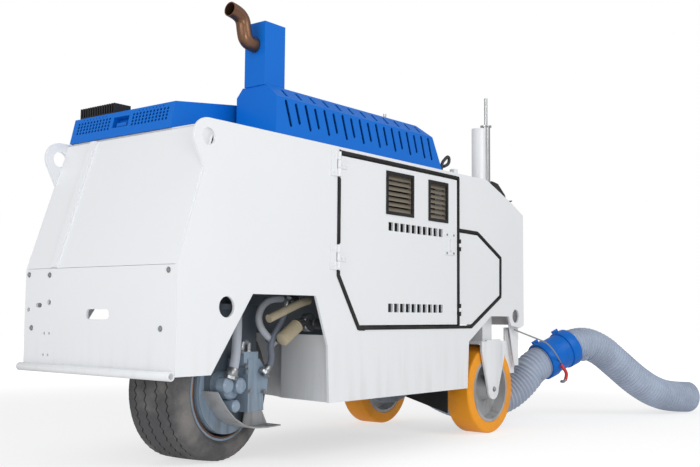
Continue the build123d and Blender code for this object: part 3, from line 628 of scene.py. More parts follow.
def pipe(points, radius, sides=4):
    """A capped round pipe along a smooth line."""
    curve = line(points)
    curve.bevel_depth = radius
    curve.bevel_resolution = sides
    curve.use_fill_caps = True
    return one_mesh([plain(curve)], "pipe")


# %% [markdown]
# Each finished piece is told which body carries it, so that it moves with its wheel, door
# or hood. A hose between two bodies is hung on neither: with `flex`, which names the second
# body and the hose's two ends, it stays where it is. Where a piece stands in for a plain
# part of the frame, it says so.


# %% Fitting a piece
def fit(name, parts, body, finish, stands_for=(), crease=35.0, flex=None):
    """Makes one piece of meshes, with soft shading across edges under `crease` degrees."""
    form = bmesh.new()
    for part in parts:
        form.from_mesh(part)
    mesh = bpy.data.meshes.new(name)
    form.to_mesh(mesh)
    form.free()
    mesh.materials.append(finish)
    mesh.polygons.foreach_set("use_smooth", [True] * len(mesh.polygons))
    mesh.set_sharp_from_angle(angle=math.radians(crease))
    made = bpy.data.objects.new(name, mesh)
    bpy.context.scene.collection.objects.link(made)
    if flex:
        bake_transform(made)
    else:
        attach(made, body)
    if stands_for:
        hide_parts(*stands_for)
    print(name, "faces", len(mesh.polygons))


def aimed(spot, way):
    """A matrix with its origin on the spot and its Z along the way."""
    return Matrix.Translation(spot) @ Vector(way).to_track_quat("Z", "Y").to_matrix().to_4x4()


def axle_frame(joint):
    return aimed(joint["pos_m"], Vector(joint["axis"]).normalized())


def wire_loop(points):
    """Points joined in a closed loop, with no faces: a start for a recipe."""
    mesh = bpy.data.meshes.new("loop")
    mesh.from_pydata(points, [(index, (index + 1) % len(points)) for index in range(len(points))], [])
    return bpy.data.objects.new("loop", mesh)

# %% [markdown]
# The drive tyre is a wide, solid road tyre with five worn ribs between zigzag grooves.
# Cutting grooves into a smooth tyre would leave ragged walls, so the mesh follows the
# tread from the start: a profile with the grooves in it is swept round the wheel, and
# each tread point is then pushed sideways in a zigzag, which leaves crisp walls. The
# sidewalls stay where they are.

# %% Tread profile
drive_axle = axle_frame(joints["drive_wheel_spin"])
TYRE_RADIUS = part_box("drive_tyre")[1][2] - drive_axle.translation.z
TYRE_HALF = 0.125
RIM_RADIUS = 0.1903
GROOVE_DEPTH = 0.007
GROOVE_WIDTH = 0.006
GROOVE_SWING = 0.0045
SHOULDER = 0.107
CROWN_FALL = 0.003
groove_places = [-0.072, -0.026, 0.026, 0.072]


def crown(across):
    """The tread's radius: nearly flat, falling away towards the shoulders."""
    return TYRE_RADIUS - CROWN_FALL * (across / 0.1) ** 2


half_profile = [(-TYRE_HALF + 0.010, RIM_RADIUS), (-TYRE_HALF + 0.001, RIM_RADIUS + 0.012),
                (-TYRE_HALF, RIM_RADIUS + 0.028), (-TYRE_HALF + 0.003, TYRE_RADIUS - 0.028),
                (-TYRE_HALF + 0.010, TYRE_RADIUS - 0.014), (-SHOULDER, crown(SHOULDER) - 0.002),
                (-SHOULDER + 0.006, crown(SHOULDER - 0.006))]
profile = list(half_profile)
for place in groove_places:
    for side, depth in ((-1.0, 0.0), (-0.7, 1.0), (0.7, 1.0), (1.0, 0.0)):
        across = place + side * GROOVE_WIDTH / 2
        profile.append((across, crown(across) - depth * GROOVE_DEPTH))
profile += [(-across, radius) for across, radius in reversed(half_profile)]
print("tyre", round(2 * TYRE_RADIUS, 3), "m across,", len(profile), "points in its profile")

# %% [markdown]
# The recipe sweeps the profile round a circle. A point's turn round the axle, times the
# number of zigzags, goes through Ping-Pong, which gives an even to-and-fro. Only points
# within reach of the tread are moved.

# %% Zigzag tread
tread = Recipe("zigzag_tread", Radius=1.0, Zigzags=52, Swing=0.0, Reach=0.1, Steps=208)
circle = tread.node("GeometryNodeCurvePrimitiveCircle",
                    values={"Resolution": tread.given("Steps"), "Radius": tread.given("Radius")})
section = tread.node("GeometryNodeMeshToCurve", values={"Mesh": tread.given("Geometry")})
swept = tread.node("GeometryNodeCurveToMesh", values={"Curve": circle, "Profile Curve": section})
x, y, z = tread.split(tread.node("GeometryNodeInputPosition"))
turns = x.maths("ARCTAN2", y, x) / (2 * math.pi) * tread.given("Zigzags")
wave = turns.maths("PINGPONG", turns, 0.5) * 4 - 1
on_tread = z.maths("LESS_THAN", z.maths("ABSOLUTE", z), tread.given("Reach"))
offset = tread.joined(z=wave * tread.given("Swing") * on_tread)
tread.close(tread.node("GeometryNodeSetPosition", values={"Geometry": swept, "Offset": offset}))

# The sweep puts the profile's X outwards from the circle and its Y along the axle.
start = wire_loop([(radius - TYRE_RADIUS, across, 0.0) for across, radius in profile])
tyre_mesh = tread.make("drive_tyre_tread", start, tyre_rubber, Radius=TYRE_RADIUS, Swing=GROOVE_SWING,
                       Reach=SHOULDER - 0.0055)
tyre_mesh = one_mesh([tyre_mesh], "tyre", drive_axle)
fit("drive_tyre_tread", [tyre_mesh], "drive_wheel", tyre_rubber, stands_for=["drive_tyre"],
    crease=25.0)

# %% [markdown]
# The rear wheels are cast urethane tyres bonded to steel rims. The tyre's two edges are
# rounded. The rim has a rolled lip, a dished disc and a hub with a bore. Both are turned
# parts, so each is one profile swept round the axle, which is how the foundry sees them.

# %% Rear wheels
REAR_EDGE = 0.061
TYRE_CORNER = 0.011
BOND_RADIUS = 0.1503
# along the axle, radius
half_rim = [(REAR_EDGE, 0.0185), (REAR_EDGE, 0.040), (REAR_EDGE - 0.004, 0.044), (0.028, 0.050),
            (0.016, 0.062), (0.010, 0.100), (0.014, 0.128), (REAR_EDGE - 0.012, 0.134), (REAR_EDGE, 0.136),
            (REAR_EDGE, 0.148), (REAR_EDGE - 0.002, 0.150)]
rim = half_rim + [(-along, radius) for along, radius in reversed(half_rim)]


def rounded(centre_along, centre_radius, size, first, last, steps=5):
    """Points of a quarter round between two angles, in degrees, on a turned profile."""
    points = []
    for step in range(steps + 1):
        angle = math.radians(first + (last - first) * step / steps)
        points.append((centre_along + size * math.cos(angle), centre_radius + size * math.sin(angle)))
    return points


for side in ("left", "right"):
    wheel = f"rear_wheel_{side}"
    axle = axle_frame(joints[f"{wheel}_spin"])
    corner_radius = axle.translation.z - TYRE_CORNER
    profile = [(-REAR_EDGE + 0.002, BOND_RADIUS), (-REAR_EDGE, BOND_RADIUS + 0.002)]
    profile += rounded(-REAR_EDGE + TYRE_CORNER, corner_radius, TYRE_CORNER, 180, 90)
    profile += rounded(REAR_EDGE - TYRE_CORNER, corner_radius, TYRE_CORNER, 90, 0)
    profile += [(REAR_EDGE, BOND_RADIUS + 0.002), (REAR_EDGE - 0.002, BOND_RADIUS)]
    fit(f"rear_urethane_{side}", [ring(profile, axle, 128)], wheel, urethane,
        stands_for=[f"rear_tyre_{side}"])
    fit(f"rear_rim_{side}", [ring(rim, axle)], wheel, wheel_paint,
        stands_for=[f"rear_hub_{side}"])

# %% [markdown]
# The dust hose is a thin skin over a spiral of stiff wire, so its wall rises and falls
# once for each turn of the wire. The tree sweeps a circle along the hose's own smooth
# line and then pushes each point out or in by a wave that depends on how far along and
# how far round it lies, which winds the ribs into one spiral.

# %% Dust hose's route
HOSE_RADIUS = 0.084
RIB_PITCH = 0.0195
RIB_HEIGHT = 0.0040
HOSE_LENGTHS = {"lower": 1.135, "upper": 1.008}
coupling_start = Vector((-1.460, 0.328, 0.310))
coupling_end = Vector((-1.590, 0.385, 0.368))
coupling_way = coupling_end - coupling_start
hose_routes = {
    "lower": [(-0.5123, 0.0, 0.330), (-0.620, 0.0, 0.330), (-0.770, 0.015, 0.255), (-0.920, 0.050, 0.150),
              (-1.080, 0.118, 0.098), (-1.225, 0.215, 0.125), (-1.322, 0.270, 0.200),
              tuple(coupling_start - coupling_way * 0.6), tuple(coupling_start)],
    "upper": [tuple(coupling_end), tuple(coupling_end + coupling_way * 0.6), (-1.800, 0.470, 0.372),
              (-1.930, 0.528, 0.275), (-2.060, 0.576, 0.185), (-2.200, 0.624, 0.118),
              (-2.330, 0.671, 0.090), (-2.457, 0.718, 0.085)],
}
print("hose lengths", HOSE_LENGTHS, "m, coupling", round(coupling_way.length, 3), "m")

# %% [markdown]
# A separate ring for each rib would be simple, but rings don't touch and the real rib is
# one wire. The wave is a sine of the distance along the hose plus the turn round it. Both
# are stored on the curves before the sweep, which carries them over to the skin.

# %% Spiral ribs
POINT_NUMBER = {"data_type": "FLOAT", "domain": "POINT"}
RING_STEPS = 10
ribs = Recipe("spiral_ribs", Radius=0.08, Pitch=0.0135, Height=0.002, Rings=600, Sides=56, Wall=0.003)
follow = ribs.node("GeometryNodeMeshToCurve", values={"Mesh": ribs.given("Geometry")})
even = ribs.node("GeometryNodeResampleCurve", values={"Curve": follow, "Count": ribs.given("Rings")})
factor = ribs.node("GeometryNodeSplineParameter")
measured = ribs.node("GeometryNodeStoreNamedAttribute", POINT_NUMBER,
                     {"Geometry": even, "Name": "along", "Value": factor.other("Length")})
circle = ribs.node("GeometryNodeCurvePrimitiveCircle",
                   values={"Resolution": ribs.given("Sides"), "Radius": ribs.given("Radius")})
circle = ribs.node("GeometryNodeStoreNamedAttribute", POINT_NUMBER,
                   {"Geometry": circle, "Name": "around", "Value": factor.other("Factor")})
tube = ribs.node("GeometryNodeCurveToMesh", values={"Curve": measured, "Profile Curve": circle})
along = ribs.node("GeometryNodeInputNamedAttribute", {"data_type": "FLOAT"}, {"Name": "along"})
around = ribs.node("GeometryNodeInputNamedAttribute", {"data_type": "FLOAT"}, {"Name": "around"})
phase = (along / ribs.given("Pitch") + around) * (2 * math.pi)
swell = phase.maths("SINE", phase) * ribs.given("Height") - ribs.given("Height")
outward = ribs.node("GeometryNodeInputNormal")
push = ribs.node("ShaderNodeVectorMath", {"operation": "SCALE"}, {0: outward, "Scale": swell})
ribs.close(ribs.node("GeometryNodeSetPosition", values={"Geometry": tube, "Offset": push}))

for part, route in hose_routes.items():
    guide = bpy.data.objects.new("guide", plain(line(route)))
    rings = round(HOSE_LENGTHS[part] / RIB_PITCH * RING_STEPS)
    skin = ribs.make(f"hose_skin_{part}", guide, hose_wall, Radius=HOSE_RADIUS, Pitch=RIB_PITCH,
                     Height=RIB_HEIGHT, Rings=rings)
    fit(f"hose_skin_{part}", [skin], "machine", hose_wall, stands_for=[f"hose_{part}"],
        crease=70.0)

# %% [markdown]
# Bolts and screws. A head is a short cylinder with a chamfered crown on a thin washer.
# The recipe sets one on each marked point, turned to face the way that the point says.
# That beats copying a modelled bolt by hand: a row is only a list of places.

# %% Bolt heads
MM = 0.001
WASHER_SHARE = 1.35
bolts = Recipe("bolt_heads", Sides=6, Radius=0.007, Height=0.005, Washer=0.009)
sides, wide, tall = (bolts.given(title) for title in ("Sides", "Radius", "Height"))


def raised(part, rise):
    values = {"Geometry": part, "Translation": bolts.joined(z=rise)}
    return bolts.node("GeometryNodeTransform", values=values)


shank = bolts.node("GeometryNodeMeshCylinder",
                   values={"Vertices": sides, "Radius": wide, "Depth": tall * 0.8})
shank = raised(shank, tall * 0.4)
crown_cap = bolts.node("GeometryNodeMeshCone", values={"Vertices": sides, "Radius Bottom": wide,
                                                       "Radius Top": wide * 0.82, "Depth": tall * 0.2})
crown_cap = raised(crown_cap, tall * 0.8)
washer = bolts.node("GeometryNodeMeshCylinder",
                    values={"Vertices": 20, "Radius": bolts.given("Washer"), "Depth": tall * 0.5})
head = bolts.node("GeometryNodeJoinGeometry", values={0: shank})
for part in (crown_cap, washer):
    bolts.tree.links.new(part.socket, head.socket.node.inputs[0])
facing = bolts.node("GeometryNodeInputNamedAttribute", {"data_type": "FLOAT_VECTOR"}, {"Name": "facing"})
turned = bolts.node("FunctionNodeAlignRotationToVector", {"axis": "Z"}, {"Vector": facing})
placed = bolts.node("GeometryNodeInstanceOnPoints",
                    values={"Points": bolts.given("Geometry"), "Instance": head, "Rotation": turned})
bolts.close(placed)
print("bolt recipe:", len(bolts.tree.nodes), "nodes")

# %% [markdown]
# The starting mesh is a set of loose points, each with a `facing` attribute. A row of
# like heads is one piece.


# %% Rows of heads
def marked(spots):
    """Points that carry the way each head faces: a start for the recipe."""
    mesh = bpy.data.meshes.new("spots")
    mesh.from_pydata([tuple(spot) for spot, _ in spots], [], [])
    ways = mesh.attributes.new("facing", "FLOAT_VECTOR", "POINT")
    for item, (_, way) in zip(ways.data, spots):
        item.vector = way
    return bpy.data.objects.new("spots", mesh)


def bolt_row(name, body, finish, size, spots):
    """size is (sides, radius, height) in millimetres; spots are ((x, y, z) in metres, facing)."""
    sides, radius, height = size
    heads = bolts.make(name, marked(spots), finish, Sides=sides, Radius=radius * MM, Height=height * MM,
                       Washer=radius * WASHER_SHARE * MM)
    fit(name, [heads], body, finish)


# %% [markdown]
# The fitter's list: which screws sit where, in millimetres. A door's screws are on its
# hinge leaves and its latch plate, so they ride on the door; the frame's half of each
# hinge stays behind with the machine.


# %% Screws and bolts
def facing_row(way, *spots):
    return [(Vector(spot) * MM, way) for spot in spots]


FORWARD, LEFT, RIGHT = (1, 0, 0), (0, 1, 0), (0, -1, 0)
SIDES = (("left", LEFT, 1), ("right", RIGHT, -1))
PLATE_FRONT = 1079.7
PLATE_SIDE = 400.0
LEAF_FACE = 404.0
HINGE_CENTRES = (1090.0, 746.0)
steer_way = Vector(joints["drive_wheel_spin"]["axis"]).normalized()
front_places = ((360, 670), (328, 490), (-380, 668), (-257, 665), (-356, 482))
bolt_row("front_bolts", "machine", zinc, (6, 7.0, 5.0),
         facing_row(FORWARD, *[(PLATE_FRONT, y, z) for y, z in front_places]))
for side, way, sign in SIDES:
    door, face = f"engine_door_{side}", sign * LEAF_FACE
    frame_leaf = [(346.0, face, centre + rise) for centre in HINGE_CENTRES for rise in (-30.0, 30.0)]
    door_leaf = [(x, face, centre) for centre in HINGE_CENTRES for x in (271.0, 293.0)]
    latch = [(x, face, z) for x in (-475.0, -421.0) for z in (802.0, 880.0)]
    bolt_row(f"hinge_screws_{side}", "machine", white_paint, (16, 6.0, 3.0),
             facing_row(way, *frame_leaf))
    bolt_row(f"door_screws_{side}", door, white_paint, (16, 6.0, 3.0),
             facing_row(way, *door_leaf))
    bolt_row(f"latch_screws_{side}", door, zinc, (16, 4.0, 2.5), facing_row(way, *latch))
bolt_row("valve_bolts", "steering", zinc, (6, 6.5, 7.0), [
    (Vector((x, 187.0, z)) * MM, steer_way)
    for x, z in ((564, 353), (560, 331), (484, 335), (544, 262), (468, 257), (452, 312))])
GEARBOX_FACE = 0.126
BOLT_CIRCLE = 0.151
BOLT_COUNT = 24
bolt_circle = []
for step in range(BOLT_COUNT):
    angle = 2 * math.pi * step / BOLT_COUNT
    spot = drive_axle @ Vector((BOLT_CIRCLE * math.cos(angle), BOLT_CIRCLE * math.sin(angle), GEARBOX_FACE))
    bolt_circle.append((spot, steer_way))
bolt_row("gearbox_bolts", "steering", hydraulic_paint, (6, 6.0, 6.0), bolt_circle)

# %% [markdown]
# The wheel bay is full of hydraulic hoses. Those between the frame and the turning fork
# hang in loops, so that they can follow the steering. Hanging a whole hose on one body
# would tear it off the other at full lock, so each hose is hung on neither body and stays
# where it is; its end fittings are rigid, one on the frame and one on the fork: a crimped
# sleeve and a hex nut.

# %% Hoses and fittings
HEX = 6
SLEEVE_LENGTH = 0.030
NUT_LENGTH = 0.014
NUT_SETBACK = 0.012
hose_cover = rubber("hose_cover", colour(176, 182, 192), colour(128, 118, 104), 0.3, rough=0.45,
                    grain=400.0)
hose_dark = rubber("hose_dark", colour(112, 120, 134), colour(104, 96, 86), 0.25, rough=0.45,
                   grain=400.0)


def nut(place, way, radius, length, sides=HEX):
    """A hex nut or a round sleeve: a short prism with chamfered ends, along `way`."""
    chamfer, bore = radius * 0.86, radius * 0.4
    profile = [(0.0, chamfer), (length * 0.15, radius), (length * 0.85, radius), (length, chamfer),
               (length, bore), (0.0, bore)]
    return ring(profile, aimed(place, way), sides)


def fitting(end, inner, radius):
    """A sleeve from the hose's end inwards, and a nut that reaches out past it."""
    way = (inner - end).normalized()
    return [nut(end, way, radius * 1.25 * MM, SLEEVE_LENGTH, 20),
            nut(end - way * NUT_SETBACK, way, radius * 1.45 * MM, NUT_LENGTH)]


def hose(route, radius):
    """A hose along a route in millimetres: its pipe, its first fitting and its last one."""
    points = [Vector(spot) * MM for spot in route]
    first, last = fitting(points[0], points[1], radius), fitting(points[-1], points[-2], radius)
    return pipe(points, radius * MM, 5), first, last


# %% [markdown]
# Three hoses run from the frame to the motor. Their routes are given in millimetres with
# the wheel as parked, from the frame's end to the fork's. A fourth, thin one links two
# ports of the valve block, and stays on the fork with both its ends.

# %% Hydraulic hoses
# name, finish, radius, route
STEER_HOSES = [
    ("supply_hose", hose_cover, 17.0, [(596, 170, 600), (600, 178, 510), (604, 180, 443), (612, 184, 390),
                                       (622, 186, 350), (632, 184, 318)]),
    ("loop_hose", hose_cover, 13.0, [(325, 200, 590), (415, 200, 596), (486, 200, 580), (522, 200, 530),
                                     (500, 200, 474), (440, 200, 436)]),
    ("return_hose", hose_dark, 12.0, [(380, 216, 590), (400, 216, 522), (438, 214, 478), (464, 210, 428),
                                      (450, 206, 386), (452, 202, 352), (482, 200, 328)]),
]
for name, finish, radius, route in STEER_HOSES:
    skin, top, foot = hose(route, radius)
    ends = [tuple(Vector(spot) * MM) for spot in (route[0], route[-1])]
    fit(name, [skin], "machine", finish, flex=("steering", *ends))
    fit(name + "_top", top, "machine", zinc)
    fit(name + "_foot", foot, "steering", zinc)
skin, first, last = hose([(538, 172, 405), (540, 176, 436), (572, 178, 438), (576, 176, 408)], 8.0)
fit("link_hose", [skin], "steering", hose_dark)
fit("link_nuts", first + last, "steering", zinc)

# %% [markdown]
# Sheet work: covers, punched plates and fins. Each starts as the plain closed form and
# has its openings cut by a Boolean modifier, which keeps the walls of a hole true to the
# sheet's thickness; a hole painted on would look flat from the side. Outlines are in
# millimetres on the side view (x, z) or on the cross-section (y, z).


# %% Cutters
def side_frame(y):
    """A frame for (x, z) outlines in millimetres, growing towards the machine's right."""
    turn = Matrix(((1, 0, 0), (0, 0, -1), (0, 1, 0))).to_4x4()
    return Matrix.Scale(MM, 4) @ Matrix.Translation((0.0, y, 0.0)) @ turn


def section_frame(x):
    """A frame for (y, z) outlines in millimetres, growing forwards."""
    turn = Matrix(((0, 0, 1), (1, 0, 0), (0, 1, 0))).to_4x4()
    return Matrix.Scale(MM, 4) @ Matrix.Translation((x, 0.0, 0.0)) @ turn


def boxed(low, high):
    """A sharp box between two corners, in millimetres."""
    return plate(rectangle((low[0], low[2]), (high[0], high[2])), high[1] - low[1], side_frame(high[1]))


def carve(solid, cutters, operation="DIFFERENCE"):
    """One closed mesh with others cut away, or kept where they overlap."""
    holders = []
    for mesh in (solid, one_mesh(cutters, "cutters")):
        holder = bpy.data.objects.new("holder", mesh)
        bpy.context.scene.collection.objects.link(holder)
        holders.append(holder)
    cut = holders[0].modifiers.new("cut", "BOOLEAN")
    cut.operation = operation
    cut.solver = "EXACT"
    cut.object = holders[1]
    carved = shown(holders[0])
    bpy.data.objects.remove(holders[1])
    return carved


def frame_mesh(name):
    """A copy of a frame part's mesh in the machine's own place."""
    mesh = nodes[name].data.copy()
    mesh.transform(nodes[name].matrix_world)
    return one_mesh([mesh], name)


# %% [markdown]
# The exhaust guard is a folded sheet cover, long and low, with leaning slots along its
# side and short ones in its fold that let the heat out. Its form is the cross-section
# where it meets the side view; the same form, a sheet's thickness smaller, hollows it.

# %% Exhaust guard
GUARD_SHEET = 4.0
FOOT_Z = 1156.3
CREST_Z = 1334.0
FOLD_Z = 1288.0
guard_section = [(392.0, FOOT_Z), (392.0, FOLD_Z), (345.0, CREST_Z), (228.0, CREST_Z), (199.0, 1302.0),
                 (199.0, FOOT_Z)]
guard_side = [(645.0, FOOT_Z), (645.0, CREST_Z), (-270.0, CREST_Z), (-325.0, FOLD_Z), (-400.0, FOOT_Z)]


def moved_in(corners, middle):
    """Walls moved inwards by the sheet's thickness; the open foot moves down instead."""
    moved = []
    for place, z in corners:
        inward = GUARD_SHEET if place < middle else -GUARD_SHEET
        moved.append((place + inward, z - 1.0 if z == FOOT_Z else z - GUARD_SHEET))
    return moved


def guard_form(section, side):
    across = plate(section, 1045.0, section_frame(-400.0))
    return carve(across, [plate(side, 400.0, side_frame(400.0))], "INTERSECT")


guard_hollow = guard_form(moved_in(guard_section, 295.0), moved_in(guard_side, 0.0))
guard_shell = carve(guard_form(guard_section, guard_side), [guard_hollow])
print("exhaust guard", len(guard_shell.polygons), "faces before its slots")

# %% [markdown]
# Every second slot in the side is a little shorter. Their ends are narrowed, since a
# punch has no sharp corners. The fold's slots are cut square through the slanted strip.

# %% Slots of the exhaust guard
SLOT_COUNT = 18
SLOT_PITCH = 52.2
SLOT_HALF = 6.5
SLOT_FIRST_X = 598.0
LONG_SLOT = (1190.0, 1281.0)
SHORT_SLOT = (1205.0, 1277.0)
SLOT_LEAN = 32.0 / 91.0
FOLD_SLOTS = 12
FOLD_PITCH = 75.0
FOLD_MIDDLE = (167.0, 368.5, 1311.0)


def leaning_slot(top_x, low, high):
    """A slot that leans forwards, with narrowed ends."""
    foot, top = Vector((top_x - SLOT_LEAN * (high - low), low)), Vector((top_x, high))
    lean = (top - foot).normalized()
    across, end = Vector((lean.y, -lean.x)) * SLOT_HALF, lean * 4.0
    return [foot + across * 0.5, foot + across + end, top + across - end, top + across * 0.5,
            top - across * 0.5, top - across - end, foot - across + end, foot - across * 0.5]


slots = []
for count in range(SLOT_COUNT):
    low, high = SHORT_SLOT if count % 2 and count < SLOT_COUNT - 1 else LONG_SLOT
    slots.append(plate(leaning_slot(SLOT_FIRST_X - count * SLOT_PITCH, low, high), 12.0, side_frame(396.0)))
fold_turn = Matrix.Rotation(math.radians(-45.0), 4, "X") @ Matrix.Translation((0.0, 0.0, -0.010))
for count in range(FOLD_SLOTS):
    along = (count - (FOLD_SLOTS - 1) / 2) * FOLD_PITCH
    spot = Matrix.Translation((Vector(FOLD_MIDDLE) + Vector((along, 0.0, 0.0))) * MM)
    slots.append(plate(rectangle((-0.0075, -0.020), (0.0075, 0.020)), 0.020, spot @ fold_turn))
fit("exhaust_guard_slotted", [carve(guard_shell, slots)], "machine", blue_paint,
    stands_for=["exhaust_guard"])

# %% [markdown]
# The hood's slanted front breathes through two fields of round holes, with a recess for
# a hand between them. Its cutters stand on the slant itself: a frame with its X to the
# side, its Y up the slant and its Z outwards, so that rows and columns are plain sums.

# %% Hood front
FIELD_PLACE = 157.0
PUNCH_PITCH = 18.0
ROW_PITCH = 12.5
HOLE_RADIUS = 5.4
SMALL_RADIUS = 2.7
front_foot, front_top = Vector((929.0, 0.0, FOOT_Z)), Vector((907.0, 0.0, 1250.0))
front_rise = (front_top - front_foot).normalized()
front_out = Vector((0.0, 1.0, 0.0)).cross(front_rise)
front_middle = front_foot + front_rise * 56.0 + Vector((0.0, -104.5, 0.0))
front_turn = Matrix((Vector((0.0, 1.0, 0.0)), front_rise, front_out)).transposed().to_4x4()
front_frame = Matrix.Scale(MM, 4) @ Matrix.Translation(front_middle) @ front_turn


def punch(across, up, radius):
    """An eight-sided cutter through the slant."""
    turns = [2 * math.pi * (step + 0.5) / 8 for step in range(8)]
    corners = [(across + radius * math.cos(turn), up + radius * math.sin(turn)) for turn in turns]
    return plate(corners, 24.0, front_frame @ Matrix.Translation((0.0, 0.0, -18.0)))


def front_box(width, height, near, far, up=0.0):
    """A box on the slant, from `near` to `far` along its outward way."""
    outline = rectangle((-width / 2, up - height / 2), (width / 2, up + height / 2))
    return plate(outline, far - near, front_frame @ Matrix.Translation((0.0, 0.0, near)))


punches = []
for side in (-1, 1):
    for column in range(11):
        across = side * FIELD_PLACE + (column - 5) * PUNCH_PITCH
        punches += [punch(across, (row - 1.5) * ROW_PITCH, HOLE_RADIUS) for row in range(4)]
for side in (-1, 1):
    small_row = [side * FIELD_PLACE + (column - 3.5) * PUNCH_PITCH for column in range(8)]
    punches += [punch(across, 31.0, SMALL_RADIUS) for across in small_row]
hood_punched = carve(frame_mesh("hood"), punches + [front_box(86.0, 40.0, -20.0, 6.0)])
fit("hood_punched", [hood_punched], "engine_hood", blue_paint, stands_for=["hood"])
tray = carve(front_box(92.0, 46.0, -30.0, -5.5), [front_box(86.0, 40.0, -27.0, 0.0)])
handle = front_box(54.0, 13.0, -27.5, -6.0, up=-8.0)
fit("hood_recess", [tray, handle], "engine_hood", blue_paint)

# %% [markdown]
# The black box on the hood has a row of cooling fins. The box stays one piece: the gaps
# between the fins are cut from its top, and no two cutters touch, since the solver may
# lose a piece whose cutters overlap.

# %% Finned box
FIN_PITCH = 14
FIN_GAP = 7.0
gaps = [boxed((862.0, y, 1262.0), (890.0, y + FIN_GAP, 1300.0)) for y in range(-378, -192, FIN_PITCH)]
fit("top_box_finned", [carve(frame_mesh("top_box"), gaps)], "engine_hood", black_plastic,
    stands_for=["top_box"])

# %% [markdown]
# The lower front plate has one tow slot, a small oblong hole and six round ones. All are
# the same cutter: a rectangle with rounded corners, which is a circle once its corners
# are as large as half its width.

# %% Front plate
sheet_low, sheet_high = (Vector(corner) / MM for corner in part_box("front_plate"))
TOW_SLOT = (15.0, 532.0, 118.0, 33.0, 12.0)
SMALL_SLOT = (-316.0, 561.0, 34.0, 16.0, 7.9)
# y, z, radius
ROUND_HOLES = [(-378, 545, 8), (-256, 571, 10), (-279, 464, 5), (-251, 464, 5), (-282, 391, 5),
               (-255, 391, 5)]
CORNER_STEPS = 6


def opening(y, z, width, height, radius):
    """A cutter through the front plate: a rectangle with round corners."""
    outline = []
    for quarter, (right, above) in enumerate(((1, 1), (-1, 1), (-1, -1), (1, -1))):
        middle = (y + right * (width / 2 - radius), z + above * (height / 2 - radius))
        for step in range(CORNER_STEPS):
            turn = math.radians(90.0 * quarter + 90.0 * (step + 0.5) / CORNER_STEPS)
            outline.append((middle[0] + radius * math.cos(turn), middle[1] + radius * math.sin(turn)))
    return plate(outline, 24.0, section_frame(sheet_low.x - 8.0))


openings = [opening(*TOW_SLOT), opening(*SMALL_SLOT)]
openings += [opening(y, z, 2 * radius + 0.1, 2 * radius + 0.1, radius) for y, z, radius in ROUND_HOLES]
front_plate = carve(boxed(sheet_low, sheet_high), openings)
fit("front_plate_holed", [front_plate], "machine", white_paint, stands_for=["front_plate"])

# %% [markdown]
# A rubber bead seals each door against its plate. It is a flattened round cord along the
# door's outline, broader where it runs down the door's slanted front, with a wide strip
# between the two hinges. The outlines are lists of corners with a radius each: extra
# guide points close to a corner keep the smooth line straight in between.


# %% Beads
def route_of(corners):
    """Points for a smooth line through corners (x, z, radius), straight between them."""
    points = [corners[0][:2]]
    for before, corner, after in zip(corners, corners[1:], corners[2:]):
        middle = Vector(corner[:2])
        for end in (before, after):
            way = Vector(end[:2]) - middle
            points.append(tuple(middle + way.normalized() * min(corner[2], way.length * 0.45)))
        points.insert(-1, corner[:2])
    points.append(corners[-1][:2])
    return points


def bead(corners, width, proud, sign):
    """A flattened cord on the side plate's face: width and height in millimetres."""
    route = [(x * MM, 0.0, z * MM) for x, z in route_of(corners)]
    flatten = Matrix.Diagonal((1.0, proud / (width / 2), 1.0, 1.0))
    lift = Matrix.Translation((0.0, sign * (PLATE_SIDE + 1.0) * MM, 0.0))
    return one_mesh([pipe(route, width / 2 * MM, 3)], "bead", lift @ flatten)


# corners, width, height
BEADS = [
    ([(312, 692, 0), (312, 681, 8), (188, 486, 16), (-518, 486, 6), (-518, 1136, 14), (300, 1138, 12),
      (309, 1141, 0)], 13.0, 4.0),
    ([(310, 697, 0), (310, 680, 8), (187, 487, 16), (150, 486, 0)], 19.0, 4.5),
    ([(-518, 908, 0), (-680, 906, 30), (-887, 804, 24), (-885, 623, 30), (-626, 486, 44), (-518, 486, 0)],
     12.0, 3.5),
]
print(len(BEADS), "beads on each side")

# %% [markdown]
# Each door has two windows in moulded black frames, which ride on the door. The beads
# are glued to the machine and stay there when the door opens.

# %% Door seals and window frames
FRAME_WIDTH = 13.0
# middle x, middle z, width, height
WINDOWS = [(-79.5, 1018.0, 190.0, 172.0), (-358.0, 1016.0, 150.0, 172.0)]


def side_box(low, high, sign, deep, proud):
    """A box between two (x, z) corners, from `deep` to `proud` on the left or right side."""
    near, far = sorted((sign * deep, sign * proud))
    return boxed((low[0], near, low[1]), (high[0], far, high[1]))


def window_frame(x, z, width, height, sign):
    reach, rim_width = Vector((width / 2, height / 2)), Vector((FRAME_WIDTH, FRAME_WIDTH))
    middle = Vector((x, z))
    outer = side_box(middle - reach, middle + reach, sign, 396.0, 403.5)
    inner = side_box(middle - reach + rim_width, middle + reach - rim_width, sign, 380.0, 410.0)
    return carve(outer, [inner])


for side, way, sign in SIDES:
    door = f"engine_door_{side}"
    seals = [bead(*shape, sign) for shape in BEADS]
    fit(f"door_seals_{side}", seals, "machine", black_rubber)
    near, far = sorted((sign * 0.398, sign * 0.4045))
    strip = block((0.301, near, 0.797), (0.316, far, 1.040), rounding=0.003)
    fit(f"hinge_strip_{side}", [strip], door, black_rubber)
    frames = [window_frame(*window, sign) for window in WINDOWS]
    fit(f"window_frames_{side}", frames, door, black_rubber)

# %% [markdown]
# The hose coupling is closed by two bands with a red over-centre lever on the near one.
# A wire rope holds the hose up from the machine's rear corner. The bands are turned round
# the coupling's own axle, so they stay square to it however the hose hangs.

